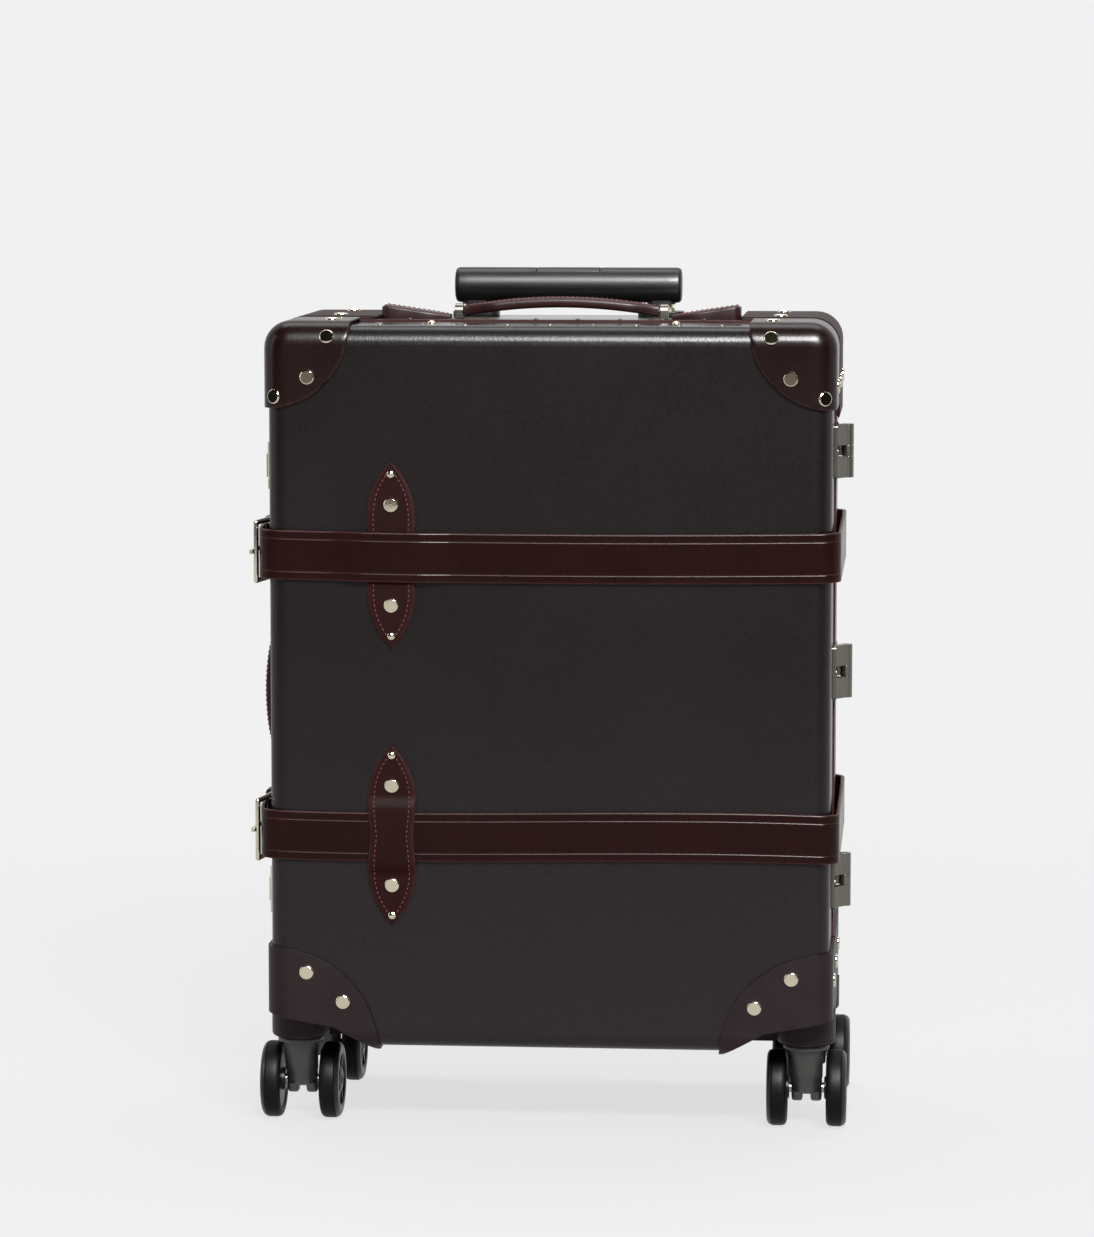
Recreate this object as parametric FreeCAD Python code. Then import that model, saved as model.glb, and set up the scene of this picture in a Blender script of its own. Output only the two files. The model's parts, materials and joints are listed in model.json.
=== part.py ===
"""Wheeled carry-on suitcase of pressed fibreboard with leather trim.

Units are millimetres. +Z is up, the lid faces -Y and the hinges are on +X.
The lid is the shallow front half, the base is the deep rear half.
"""
import FreeCAD
import Part

import math
import os

V = FreeCAD.Vector

# Body of the case
HALF_W = 187.5
FRONT_Y = -100.0
REAR_Y = 100.0
SEAM_Y = -30.0
BOTTOM_Z = 58.0
TOP_Z = 543.0
CORNER_R = 15.0
FACE_R = 13.0
BOARD = 2.5
SEAM_GAP = 0.3

# Rim at the seam and the frame inside the lid
RIM_PROUD = 1.4
RIM_REAR_Y = -26.0
RIM_FLANGE_Y = -12.0
TONGUE_Y = -36.0
FRAME_T = 3.0
FRAME_DEPTH = 16.0
LINING_T = 1.0
FALSE_BACK_Y = 65.0

# Leather corners at the top, moulded wheel housings at the bottom
LID_CORNER_REACH = 55.0
BASE_CORNER_REACH = 64.0
LID_CORNER_T = 3.0
BASE_CORNER_T = 3.2
HOUSING_W = 73.0
HOUSING_H = 68.0
HOUSING_T = 2.7
POCKET_WALL = 2.5
POCKET_X = -116.5
POCKET_LOW = 56.0
POCKET_ROOF = 72.0
POCKET_ROOF_X = -144.0
POCKET_EDGE = 80.0
POCKET_END_Y = -40.0
FIT = 0.1

# Casters
CASTER_X = 172.0
CASTER_Y = 62.0
COLLAR_R = 19.5
COLLAR_Z = 59.0
STEM_R = 5.0
RUNNING = 0.05
TRAIL = 11.0
WHEEL_R = 26.0
WHEEL_W = 13.5
WHEEL_OFFSET = 20.0
FORK_W = 22.0
AXLE_R = 3.5

# Hinges on the right side
HINGE_X = 196.5
HINGE_ZS = (166.0, 308.5, 457.5)
HINGE_H = 36.0
KNUCKLE_R = 4.0
HINGE_PIN_R = 1.6
LEAF_T = 2.4

# Straps, buckles and keepers
STRAP_ZS = {"upper": 391.0, "lower": 203.0}
STRAP_W = 33.0
STRAP_T = 2.5
STRAP_SIDE_X = 192.55
STRAP_FACE = 1.7
STRAP_BUMP = 2.8
TAIL_R = 394.1
TAIL_START_Y = -86.0
TAIL_TIP_Y = 2.0
SLIT_W = 4.6
SLIT_START_Y = -64.0
HEEL_X = -191.9
HEEL_Y = -50.0
HEEL_R = 1.5
FRONT_BAR_Y = -83.0
FRAME_ROD_R = 1.8
EYE_R = 3.6
PRONG_W = 3.0
KEEPER_X = -104.5
KEEPER_T = 2.5
KEEPER_HALF = {"upper": 62.0, "lower": 60.5}
KEEPER_RIVET = 33.5
KEEPER_STUD = 54.0
BRIDGE_FOOT = 26.0
BRIDGE_TOP = 19.5

# Trolley
TROLLEY_Y = 76.0
TUBE_X = 64.5
OUTER_TUBE = (22.0, 15.0, 1.2)
MIDDLE_TUBE = (18.9, 11.9, 1.1)
INNER_TUBE = (16.0, 9.0, 1.0)
TUBE_FOOT_Z = 66.6
BEZEL_TOP = 546.3
BEZEL_HALF = 16.0
BEZEL_DEEP = 12.0
GRIP_Z = 564.3
GRIP_R = 12.2
GRIP_HALF = 79.0
GRIP_CORE_R = 9.4
BUTTON_HALF = 22.0
BUTTON_TRAVEL = 3.0
BUTTON_PROUD = 0.1

# Leather handles, drawn along X on a plane at z = 0 and then placed
HANDLE_PIVOT_Z = 5.6
HANDLE_PEAK = 11.7
HANDLE_T = 7.0
HANDLE_W = 22.0
HANDLE_TAPER = 22.5
HANDLE_TIP_W = 8.4
HANDLE_PIN_R = 2.0
STUD_REACH = 7.5
POST_GAP = 0.9
POST_T = 5.6
POST_W = 10.0
TAB_GAP = 3.0
TAB_W = 24.0
TAB_LOW = 3.2
TOP_HANDLE_HALF = 66.5
TOP_TAB_END = 122.5
TOP_TAB_HIGH = 9.8
TOP_HANDLE_Y = 14.0
SIDE_HANDLE_HALF = 46.0
SIDE_TAB_END = 65.5
SIDE_TAB_HIGH = 6.4
SIDE_HANDLE_Y = 2.0
SIDE_HANDLE_Z = 288.0

# Latches on the left side
LATCH_ZS = {"upper": 446.0, "lower": 156.0}
LATCH_H = 32.0
HASP_PIVOT = (-192.5, -43.0)
HASP_T = 2.0

# Rivets: head diameter, head height, shank radius
RIVET = (10.0, 1.3, 1.8)
STUD = (5.6, 1.8, 1.1)
ROW_STUD = (5.0, 1.1, 1.0)
RIM_PIN = (3.0, 0.9, 0.8)
ROW_PITCH = 28.4
ROW_COUNT = 9
ROW_INSET = 18.0
RIVET_SINK = 0.4
SHANK_SHORT = 0.2

# Places of the rivets: (x, z) on a face, and single coordinates on the edges and sides
EDGE_TILT_UP = 22.0
EDGE_TILT_ASIDE = 31.0
LID_TOP_RIVET_X = 147.0
LID_FACE_RIVET = (160.0, 509.0)
LID_EDGE_RIVET_Z = 496.0
LID_SIDE_RIVET_Y = -72.0
REAR_FACE_RIVETS = ((146.0, 522.0), (156.0, 500.0), (168.0, 489.0))
BASE_TOP_RIVET_X = 150.0
BASE_SIDE_RIVET_YS = (0.0, 70.0)
CORNER_SIDE_RIVET_Z = 503.0
HOUSING_RIVETS = ((162.5, 109.5), (138.0, 89.7))
HOUSING_SIDE_RIVET_Z = 104.0
TOP_STUD_X = 82.0
TOP_STUD_Y = -55.0
LEAF_RIVET_REACH = 14.6
LEAF_RIVET_SPREAD = 11.0

PARTS_DIR = "parts"


def box(x0, x1, y0, y1, z0, z1):
    """Box between two opposite corners."""
    return Part.makeBox(x1 - x0, y1 - y0, z1 - z0, V(x0, y0, z0))


def mirror_x(shape):
    """The same shape on the other side of the case."""
    return shape.mirror(V(0, 0, 0), V(1, 0, 0))


def mirror_y(shape):
    """The same shape on the other face of the case."""
    return shape.mirror(V(0, 0, 0), V(0, 1, 0))


def moved(shape, x, y, z):
    """A copy of a shape, moved."""
    copy = shape.copy()
    copy.translate(V(x, y, z))
    return copy


def fuse_all(shapes):
    """One solid from shapes that touch or overlap."""
    whole = shapes[0].fuse(shapes[1:]) if len(shapes) > 1 else shapes[0]
    return whole.removeSplitter()


def edges_along(shape, direction):
    """Straight edges parallel to a direction."""
    found = []
    for edge in shape.Edges:
        if len(edge.Vertexes) == 2:
            span = edge.Vertexes[1].Point.sub(edge.Vertexes[0].Point)
            if span.Length > 1e-6 and span.cross(direction).Length < 1e-6 * span.Length:
                found.append(edge)
    return found


def envelope(grow, y0, y1, rounded=0):
    """The body's outer shape grown by a distance, with the front (-1) or rear (+1) face rounded."""
    if rounded < 0:
        y0 = FRONT_Y - grow
    if rounded > 0:
        y1 = REAR_Y + grow
    half = HALF_W + grow
    block = box(-half, half, y0, y1, BOTTOM_Z - grow, TOP_Z + grow)
    block = block.makeFillet(CORNER_R + grow, edges_along(block, V(0, 1, 0)))
    if rounded:
        y_face = y0 if rounded < 0 else y1
        loop = [e for e in block.Edges if all(abs(v.Y - y_face) < 1e-6 for v in e.Vertexes)]
        block = block.makeFillet(FACE_R + grow, loop)
    return block


def band_around(grow_out, grow_in, y0, y1):
    """A band that follows the body's outline between two offsets."""
    return envelope(grow_out, y0, y1).cut(envelope(grow_in, y0 - 1, y1 + 1))


def polygon_face(points):
    """A flat face from 3-D corner points."""
    return Part.Face(Part.makePolygon(points + [points[0]]))


def prism_y(points, y0, y1):
    """A polygon of (x, z) points, extruded along Y."""
    face = polygon_face([V(x, y0, z) for x, z in points])
    return face.extrude(V(0, y1 - y0, 0))


def prism_z(points, z0, z1):
    """A polygon of (x, y) points, extruded along Z."""
    face = polygon_face([V(x, y, z0) for x, y in points])
    return face.extrude(V(0, 0, z1 - z0))


def cylinder(radius, start, axis, length):
    """Cylinder from a start point along an axis."""
    return Part.makeCylinder(radius, length, V(*start), V(*axis))


def offset_corners(points, distance):
    """Corners of a path moved sideways; a positive distance moves to the left of travel."""
    lines = []
    for a, b in zip(points, points[1:]):
        way = b.sub(a).normalize()
        side = V(-way.y, way.x, 0).multiply(distance)
        lines.append((a.add(side), way))
    out = [lines[0][0]]
    for (p, u), (q, w) in zip(lines, lines[1:]):
        cross = u.x * w.y - u.y * w.x
        gap = q.sub(p)
        along = (gap.x * w.y - gap.y * w.x) / cross
        out.append(p.add(V(u.x, u.y, 0).multiply(along)))
    last, way = lines[-1]
    out.append(last.add(way.multiply(points[-1].sub(points[-2]).Length)))
    side = out[-1].sub(points[-1])
    end_way = points[-1].sub(points[-2]).normalize()
    out[-1] = out[-1].sub(V(end_way.x, end_way.y, 0).multiply(side.dot(end_way)))
    return out


def rounded_edges(corners, radii):
    """Lines and arcs along a path, with one radius for each inner corner."""
    edges = []
    start = corners[0]
    for i, radius in enumerate(radii, 1):
        before = corners[i].sub(corners[i - 1]).normalize()
        after = corners[i + 1].sub(corners[i]).normalize()
        turn = math.acos(max(-1.0, min(1.0, before.dot(after))))
        cut = radius * math.tan(turn / 2)
        enter = corners[i].sub(V(before.x, before.y, 0).multiply(cut))
        leave = corners[i].add(V(after.x, after.y, 0).multiply(cut))
        middle_way = after.sub(before).normalize()
        centre = corners[i].add(V(middle_way.x, middle_way.y, 0).multiply(radius / math.cos(turn / 2)))
        middle = centre.sub(V(middle_way.x, middle_way.y, 0).multiply(radius))
        edges.append(Part.makeLine(start, enter))
        edges.append(Part.Arc(enter, middle, leave).toShape())
        start = leave
    edges.append(Part.makeLine(start, corners[-1]))
    return edges


def ribbon(path, radii, thickness, z0, z1):
    """A strip of even thickness along a rounded path in XY, standing between two heights."""
    points = [V(x, y, 0) for x, y in path]
    turns = []
    for a, b, c in zip(points, points[1:], points[2:]):
        u, w = b.sub(a), c.sub(b)
        turns.append(1 if u.x * w.y - u.y * w.x > 0 else -1)
    half = thickness / 2
    left = offset_corners(points, half)
    right = offset_corners(points, -half)
    left_edges = rounded_edges(left, [r - s * half for r, s in zip(radii, turns)])
    right_edges = rounded_edges(right, [r + s * half for r, s in zip(radii, turns)])
    ends = [Part.makeLine(left[0], right[0]), Part.makeLine(left[-1], right[-1])]
    wire = Part.Wire(Part.__sortEdges__(left_edges + right_edges + ends))
    return moved(Part.Face(wire).extrude(V(0, 0, z1 - z0)), 0, 0, z0)


def ring_sector(centre, inner_r, outer_r, angle0, angle1, z0, z1):
    """Part of a flat ring in XY between two angles in radians."""
    def at(radius, angle):
        return V(centre[0] + radius * math.cos(angle), centre[1] + radius * math.sin(angle), z0)

    middle = (angle0 + angle1) / 2
    edges = [
        Part.Arc(at(outer_r, angle0), at(outer_r, middle), at(outer_r, angle1)).toShape(),
        Part.makeLine(at(outer_r, angle1), at(inner_r, angle1)),
        Part.Arc(at(inner_r, angle1), at(inner_r, middle), at(inner_r, angle0)).toShape(),
        Part.makeLine(at(inner_r, angle0), at(outer_r, angle0)),
    ]
    return Part.Face(Part.Wire(edges)).extrude(V(0, 0, z1 - z0))


def rivet(kind, point, normal, depth):
    """A low domed head standing on a surface, with a shank of the stated depth below it."""
    head_d, head_h, shank_r = kind
    r = head_d / 2
    dome = 0.65 * head_h
    ball_r = (r * r + dome * dome) / (2 * dome)
    head = cylinder(r, (0, 0, 0.02), (0, 0, 1), head_h)
    head = head.common(Part.makeSphere(ball_r, V(0, 0, head_h - ball_r)))
    solid = fuse_all([head, cylinder(shank_r, (0, 0, -depth), (0, 0, 1), depth + 0.3)])
    turn = FreeCAD.Rotation(V(0, 0, 1), V(*normal))
    solid.Placement = FreeCAD.Placement(V(*point), turn)
    return solid


def rivet_hole(kind, point, normal, depth):
    """The hole that a rivet's shank needs, with a flat seat where its head is sunk in a rounded edge."""
    way = V(*normal)
    start = V(*point).sub(V(*normal).multiply(depth + 0.3))
    shank = Part.makeCylinder(kind[2] + 0.05, depth + 8, start, way)
    seat = Part.makeCylinder(kind[0] / 2 + 0.05, 8, V(*point), way)
    return shank.fuse(seat)


def pocket(grow):
    """The space above the front left caster, grown by a distance; it opens forward, left and down."""
    far_x = -230.0
    slope = (POCKET_EDGE - POCKET_ROOF) / (POCKET_ROOF_X + HALF_W)
    far_z = POCKET_ROOF + slope * (POCKET_ROOF_X - far_x)
    outline = [(POCKET_X, 20), (POCKET_X, POCKET_LOW), (POCKET_ROOF_X, POCKET_ROOF), (far_x, far_z)]
    grown = offset_corners([V(x, z, 0) for x, z in outline], -grow)
    points = [(p.x, p.y) for p in grown] + [(far_x - 20, grown[-1].y), (far_x - 20, 20)]
    return prism_y(points, FRONT_Y - 15, POCKET_END_Y + grow)


def at_corners(shape):
    """A front left shape and its mirror image on the right."""
    return [shape, mirror_x(shape)]


def leather_corner(thickness, span, face, y_seam):
    """A leather corner for the top left of the lid (face -1) or base (face +1)."""
    if face < 0:
        outer = envelope(thickness, 0, y_seam, face)
        inner = envelope(FIT, 0, y_seam + 1, face)
        y0, y1 = FRONT_Y - 15, y_seam
    else:
        outer = envelope(thickness, y_seam, 0, face)
        inner = envelope(FIT, y_seam - 1, 0, face)
        y0, y1 = y_seam, REAR_Y + 15
    reach = cylinder(span, (-HALF_W, y0, TOP_Z), (0, 1, 0), y1 - y0)
    return outer.cut(inner).common(reach)


def wheel_housing(face, y_seam):
    """The moulded bottom left corner with its caster pocket and collar."""
    if face < 0:
        outer = envelope(HOUSING_T, 0, y_seam, face)
        inner = envelope(FIT, 0, y_seam + 1, face)
        y0, y1 = FRONT_Y - 15, y_seam
        spaces = [pocket(grow) for grow in (0, POCKET_WALL, POCKET_WALL / 2)]
    else:
        outer = envelope(HOUSING_T, y_seam, 0, face)
        inner = envelope(FIT, y_seam - 1, 0, face)
        y0, y1 = y_seam, REAR_Y + 15
        spaces = [mirror_y(pocket(grow)) for grow in (0, POCKET_WALL, POCKET_WALL / 2)]
    hollow, liner, middle = spaces
    ellipse = Part.Ellipse(V(0, 0, 0), HOUSING_W, HOUSING_H).toShape()
    reach = Part.Face(Part.Wire(ellipse)).extrude(V(0, 0, y1 - y0))
    reach.rotate(V(0, 0, 0), V(1, 0, 0), 90)
    reach.translate(V(-HALF_W, y1, BOTTOM_Z))
    skin = outer.cut(inner).common(reach)
    lining = liner.common(outer)
    y = CASTER_Y * face
    collar = cylinder(COLLAR_R, (-CASTER_X, y, COLLAR_Z), (0, 0, 1), POCKET_EDGE - COLLAR_Z + 4)
    rim = [e for e in collar.Edges if abs(e.BoundBox.ZMax - COLLAR_Z) < 1e-6]
    collar = collar.makeFillet(3.0, rim).common(middle)
    bore = cylinder(STEM_R + RUNNING, (-CASTER_X, y, COLLAR_Z - 1), (0, 0, 1), POCKET_ROOF - COLLAR_Z)
    whole = fuse_all([skin, lining]).cut(hollow)
    return fuse_all([whole, collar]).cut(bore)


def caster_pockets(grow, face):
    """Both pockets of one half, to cut its shell, frame or lining."""
    left = pocket(grow) if face < 0 else mirror_y(pocket(grow))
    return at_corners(left)


def tube(size, z0, z1):
    """One trolley tube, centred on x = y = 0."""
    width, depth, wall = size

    def block(shrink):
        half_w, half_d = width / 2 - shrink, depth / 2 - shrink
        solid = box(-half_w, half_w, -half_d, half_d, z0 - shrink, z1 + shrink)
        return solid.makeFillet(3.2 - shrink, edges_along(solid, V(0, 0, 1)))

    return block(0).cut(block(wall))


def tube_pair(size, z0, z1):
    """The left and right tube of one stage."""
    one = tube(size, z0, z1)
    return [moved(one, s * TUBE_X, TROLLEY_Y, 0) for s in (-1, 1)]


def tube_space(size, grow, z0, z1):
    """Solid blocks that clear both tubes of one stage."""
    half_w, half_d = size[0] / 2 + grow, size[1] / 2 + grow
    block = box(-half_w, half_w, -half_d, half_d, z0, z1)
    block = block.makeFillet(3.2 + grow, edges_along(block, V(0, 0, 1)))
    return [moved(block, s * TUBE_X, TROLLEY_Y, 0) for s in (-1, 1)]


def handle_leather(half):
    """A bowed leather handle of a half length with a pivot bore at each end, along X on z = 0."""
    rise = HANDLE_PEAK - HANDLE_PIVOT_Z
    radius = (half ** 2 + rise ** 2) / (2 * rise)
    reach = math.asin(half / radius) * 1.05
    bow = ring_sector((0, HANDLE_PEAK - radius), radius - HANDLE_T / 2, radius + HANDLE_T / 2,
                      math.pi / 2 - reach, math.pi / 2 + reach, -HANDLE_W / 2, HANDLE_W / 2)
    bow.rotate(V(0, 0, 0), V(1, 0, 0), 90)
    wide, half_w, tip = half - HANDLE_TAPER, HANDLE_W / 2, HANDLE_TIP_W / 2
    right = [(wide, -half_w), (half, -tip), (half, tip), (wide, half_w)]
    outline = right + [(-x, -y) for x, y in right]
    bow = bow.common(prism_z(outline, -20, 40))
    start = half - STUD_REACH - 1
    bores = [cylinder(HANDLE_PIN_R + 0.06, (s * start, 0, HANDLE_PIVOT_Z), (s, 0, 0), 20) for s in (-1, 1)]
    return bow.cut(bores)


def handle_posts(half):
    """The two metal posts whose studs carry a handle of a half length."""
    inner = half + POST_GAP
    outer = inner + POST_T
    width = POST_W / 2
    foot = box(inner, outer, -width, width, FIT, HANDLE_PIVOT_Z)
    crown = cylinder(width, (inner, 0, HANDLE_PIVOT_Z), (1, 0, 0), POST_T)
    stud_length = outer - half + STUD_REACH
    stud = cylinder(HANDLE_PIN_R, (outer, 0, HANDLE_PIVOT_Z), (-1, 0, 0), stud_length)
    above = box(half - STUD_REACH - 1, outer + 1, -width, width, FIT, HANDLE_PIVOT_Z + width)
    post = fuse_all([foot, crown, stud]).common(above)
    return [post, mirror_x(post)]


def handle_tabs(half, end, high):
    """The wedge-shaped leather tabs outside the posts, rising to a height at their outer ends."""
    start = half + POST_GAP + POST_T + TAB_GAP
    wide = TAB_W / 2
    bevel = 4.0
    profile = [(start, FIT), (end, FIT), (end, high - 1.2), (end - 2.5, high), (start, TAB_LOW)]
    wedge = prism_y(profile, -wide, wide)
    shoulder = start + 0.3 * (end - start)
    upper = [(end, wide - bevel), (end - bevel, wide), (shoulder, wide), (start, wide - 5)]
    plan = [(x, -y) for x, y in reversed(upper)] + upper
    wedge = wedge.common(prism_z(plan, -1, high + 10))
    return [wedge, mirror_x(wedge)]


def on_top(shapes):
    """Handle pieces placed on the top of the base."""
    return [moved(s, 0, TOP_HANDLE_Y, TOP_Z) for s in shapes]


def on_side(shapes):
    """Handle pieces placed on the left side of the base."""
    placed = []
    for shape in shapes:
        copy = shape.copy()
        copy.rotate(V(0, 0, 0), V(0, 1, 0), -90)
        placed.append(moved(copy, -HALF_W, SIDE_HANDLE_Y, SIDE_HANDLE_Z))
    return placed


def front_strap(where):
    """A front strap from the hinge side to the tip of its punched tail, on a path about the lid hinge."""
    z = STRAP_ZS[where]
    z0, z1 = z - STRAP_W / 2, z + STRAP_W / 2
    face_y = FRONT_Y - STRAP_FACE
    start = math.asin((SEAM_Y - TAIL_START_Y) / TAIL_R)
    tip = math.asin((SEAM_Y - TAIL_TIP_Y) / TAIL_R)
    join = (HINGE_X - TAIL_R * math.cos(start), SEAM_Y - TAIL_R * math.sin(start))
    ahead = (join[1] - face_y) / math.cos(start)
    path = [join, (join[0] + ahead * math.sin(start), face_y)]
    radii = [8.0]
    if where == "upper":
        lift = face_y - STRAP_BUMP
        path += [(KEEPER_X - 38, face_y), (KEEPER_X - 20, lift),
                 (KEEPER_X + 20, lift), (KEEPER_X + 38, face_y)]
        radii += [30.0, 30.0, 30.0, 30.0]
    path += [(STRAP_SIDE_X, face_y), (STRAP_SIDE_X, SEAM_Y - 0.35)]
    radii += [8.0]
    front = ribbon(path, radii, STRAP_T, z0, z1)
    tail = ring_sector((HINGE_X, SEAM_Y), TAIL_R - STRAP_T / 2, TAIL_R + STRAP_T / 2,
                       math.pi + start, math.pi + tip, z0, z1)
    slit = box(-230, -150, SLIT_START_Y, 40, z - SLIT_W / 2, z + SLIT_W / 2)
    ends = [tail_corner(z1, 1), tail_corner(z0, -1)]
    return fuse_all([front, tail.cut([slit] + ends)])


def tail_corner(z_edge, side):
    """A block that takes one corner off the tip of a strap tail."""
    corners = [(TAIL_TIP_Y - 9, z_edge), (TAIL_TIP_Y + 5, z_edge), (TAIL_TIP_Y + 5, z_edge - side * 14)]
    points = [V(-230, y, z) for y, z in corners]
    return polygon_face(points).extrude(V(80, 0, 0))


def rear_strap(where):
    """A rear strap from the hinge side round the back to the eye that holds the buckle."""
    z = STRAP_ZS[where]
    z0, z1 = z - STRAP_W / 2, z + STRAP_W / 2
    face_y = REAR_Y + STRAP_FACE
    path = [(STRAP_SIDE_X, SEAM_Y + 0.35), (STRAP_SIDE_X, face_y),
            (-STRAP_SIDE_X, face_y), (-STRAP_SIDE_X, HEEL_Y + 3)]
    strap = ribbon(path, [8.0, 8.0], STRAP_T, z0, z1)
    eye = cylinder(EYE_R, (HEEL_X, HEEL_Y, z0), (0, 0, 1), STRAP_W)
    whole = fuse_all([strap, eye])
    bar = cylinder(HEEL_R + 0.02, (HEEL_X, HEEL_Y, z0 - 1), (0, 0, 1), STRAP_W + 2)
    room = cylinder(EYE_R + 9, (HEEL_X, HEEL_Y, z - 2.6), (0, 0, 1), 5.2)
    return whole.cut([bar, room])


def tail_outer_x(y):
    """Outer face of a strap tail at a depth."""
    radius = TAIL_R + STRAP_T / 2
    return HINGE_X - math.sqrt(radius ** 2 - (y - SEAM_Y) ** 2)


def front_bar_x():
    """Centre line of a buckle's front bar, just outside the tail."""
    return tail_outer_x(FRONT_BAR_Y) - 0.4 - FRAME_ROD_R


def rod(radius, start, end):
    """A round rod between two points with ball ends."""
    way = V(*end).sub(V(*start))
    stick = Part.makeCylinder(radius, way.Length, V(*start), way)
    balls = [Part.makeSphere(radius, V(*p)) for p in (start, end)]
    return fuse_all([stick] + balls)


def buckle_frame(z):
    """A buckle frame: heel bar under the tail, front bar over it, two side bars."""
    half = STRAP_W / 2 + 1.2 + FRAME_ROD_R
    bar_x = front_bar_x()
    front = rod(FRAME_ROD_R, (bar_x, FRONT_BAR_Y, z - half), (bar_x, FRONT_BAR_Y, z + half))
    sides = []
    for z_side in (z - half, z + half):
        sides.append(rod(FRAME_ROD_R, (bar_x, FRONT_BAR_Y, z_side), (HEEL_X, HEEL_Y, z_side)))
    heel = cylinder(HEEL_R, (HEEL_X, HEEL_Y, z - half), (0, 0, 1), 2 * half)
    return fuse_all([front, heel] + sides)


def prong(z):
    """A buckle prong that turns on the heel bar and rests on the front bar."""
    z0 = z - PRONG_W / 2
    eye = cylinder(EYE_R - 0.2, (HEEL_X, HEEL_Y, z0), (0, 0, 1), PRONG_W)
    rest_x = front_bar_x() - FRAME_ROD_R - 0.3 - 1.1
    path = [(HEEL_X - 1.0, HEEL_Y - 2.2), (HEEL_X - 8.0, HEEL_Y - 6.2), (rest_x, FRONT_BAR_Y - 2.6)]
    bar = ribbon(path, [3.0], 2.2, z0, z0 + PRONG_W)
    bore = cylinder(HEEL_R + RUNNING, (HEEL_X, HEEL_Y, z0 - 1), (0, 0, 1), PRONG_W + 2)
    return fuse_all([eye, bar]).cut(bore)


def strap_loop(z):
    """A leather loop that holds the tail against the rear strap."""
    y0, y1 = -22.0, -10.0
    half = STRAP_W / 2 + 0.6
    inner_x = -STRAP_SIDE_X + STRAP_T / 2 + FIT
    outer_x = tail_outer_x(SEAM_Y) - 0.4
    hole = box(outer_x, inner_x, y0 - 1, y1 + 1, z - half, z + half)
    body = box(outer_x - 1.6, inner_x + 1.6, y0, y1, z - half - 1.6, z + half + 1.6)
    return body.makeFillet(1.4, edges_along(body, V(0, 1, 0))).cut(hole)


def keeper_outline(half_len):
    """The pointed, waisted outline of a keeper as (across, along) points of one closed spline pair."""
    upper = [(0, half_len), (7.5, half_len - 9), (13.5, half_len - 22), (16.0, 24)]
    side = upper + [(14.3, 0)] + [(x, -z) for x, z in reversed(upper)]
    curves = []
    for sign in (1, -1):
        curve = Part.BSplineCurve()
        curve.interpolate([V(sign * x, 0, z) for x, z in side])
        curves.append(curve.toShape())
    return Part.Face(Part.Wire(Part.__sortEdges__(curves)))


def keeper(half_len, bridged):
    """A strap keeper on the front face: flat, or raised into a bridge that the strap passes under."""
    surface = FIT
    half_t = KEEPER_T / 2
    blank = keeper_outline(half_len).extrude(V(0, -20, 0))
    if not bridged:
        slab = box(-20, 20, -surface - KEEPER_T, -surface, -half_len, half_len)
        return blank.common(slab)
    low, high = surface + half_t, STRAP_FACE + STRAP_T / 2 + 0.3 + half_t
    rising = [(-half_len - 1, low), (-BRIDGE_FOOT, low), (-BRIDGE_TOP, high)]
    path = rising + [(-z, y) for z, y in reversed(rising)]
    strip = ribbon(path, [8.0, 6.0, 6.0, 8.0], KEEPER_T, -20, 20)
    strip.rotate(V(0, 0, 0), V(0, 1, 0), -90)
    strip.rotate(V(0, 0, 0), V(0, 0, 1), 180)
    return blank.common(strip)


def hinge_leaf(z, side):
    """A hinge leaf on the lid (side -1, two knuckles) or on the base (side +1, one knuckle)."""
    x0 = HALF_W + FIT
    y_near, y_far = SEAM_Y + side * 0.9, SEAM_Y + side * 19
    plate = box(x0, x0 + LEAF_T, min(y_near, y_far), max(y_near, y_far), z - HINGE_H / 2, z + HINGE_H / 2)
    plate = plate.makeFillet(1.8, edges_along(plate, V(1, 0, 0)))
    spans = [(-HINGE_H / 2, -3.9), (3.9, HINGE_H / 2)] if side < 0 else [(-3.6, 3.6)]
    solids = [plate]
    for low, high in spans:
        barrel = cylinder(KNUCKLE_R, (HINGE_X, SEAM_Y, z + low), (0, 0, 1), high - low)
        web = [(x0, SEAM_Y + side * 15), (x0, y_near), (HINGE_X - 2, y_near), (HINGE_X, SEAM_Y + side * 0.9),
               (HINGE_X, SEAM_Y + side * 3.9)]
        solids += [barrel, prism_z(web, z + low, z + high)]
    bore = cylinder(HINGE_PIN_R + RUNNING if side < 0 else HINGE_PIN_R + 0.01,
                    (HINGE_X, SEAM_Y, z - HINGE_H), (0, 0, 1), 2 * HINGE_H)
    return fuse_all(solids).cut(bore)


def hinge_pin(z):
    """The pin of one hinge."""
    return cylinder(HINGE_PIN_R, (HINGE_X, SEAM_Y, z - HINGE_H / 2 + 0.2), (0, 0, 1), HINGE_H - 0.4)


def lock_body(z):
    """A lock on the base's left side that the hasp closes over."""
    body = box(-193.0, -HALF_W - FIT, -25.2, -3.0, z - LATCH_H / 2, z + LATCH_H / 2)
    body = body.makeFillet(2.0, edges_along(body, V(1, 0, 0)))
    slot = box(-195, -190.4, -26, -14, z - 5.0, z + 5.0)
    return body.cut(slot)


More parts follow.
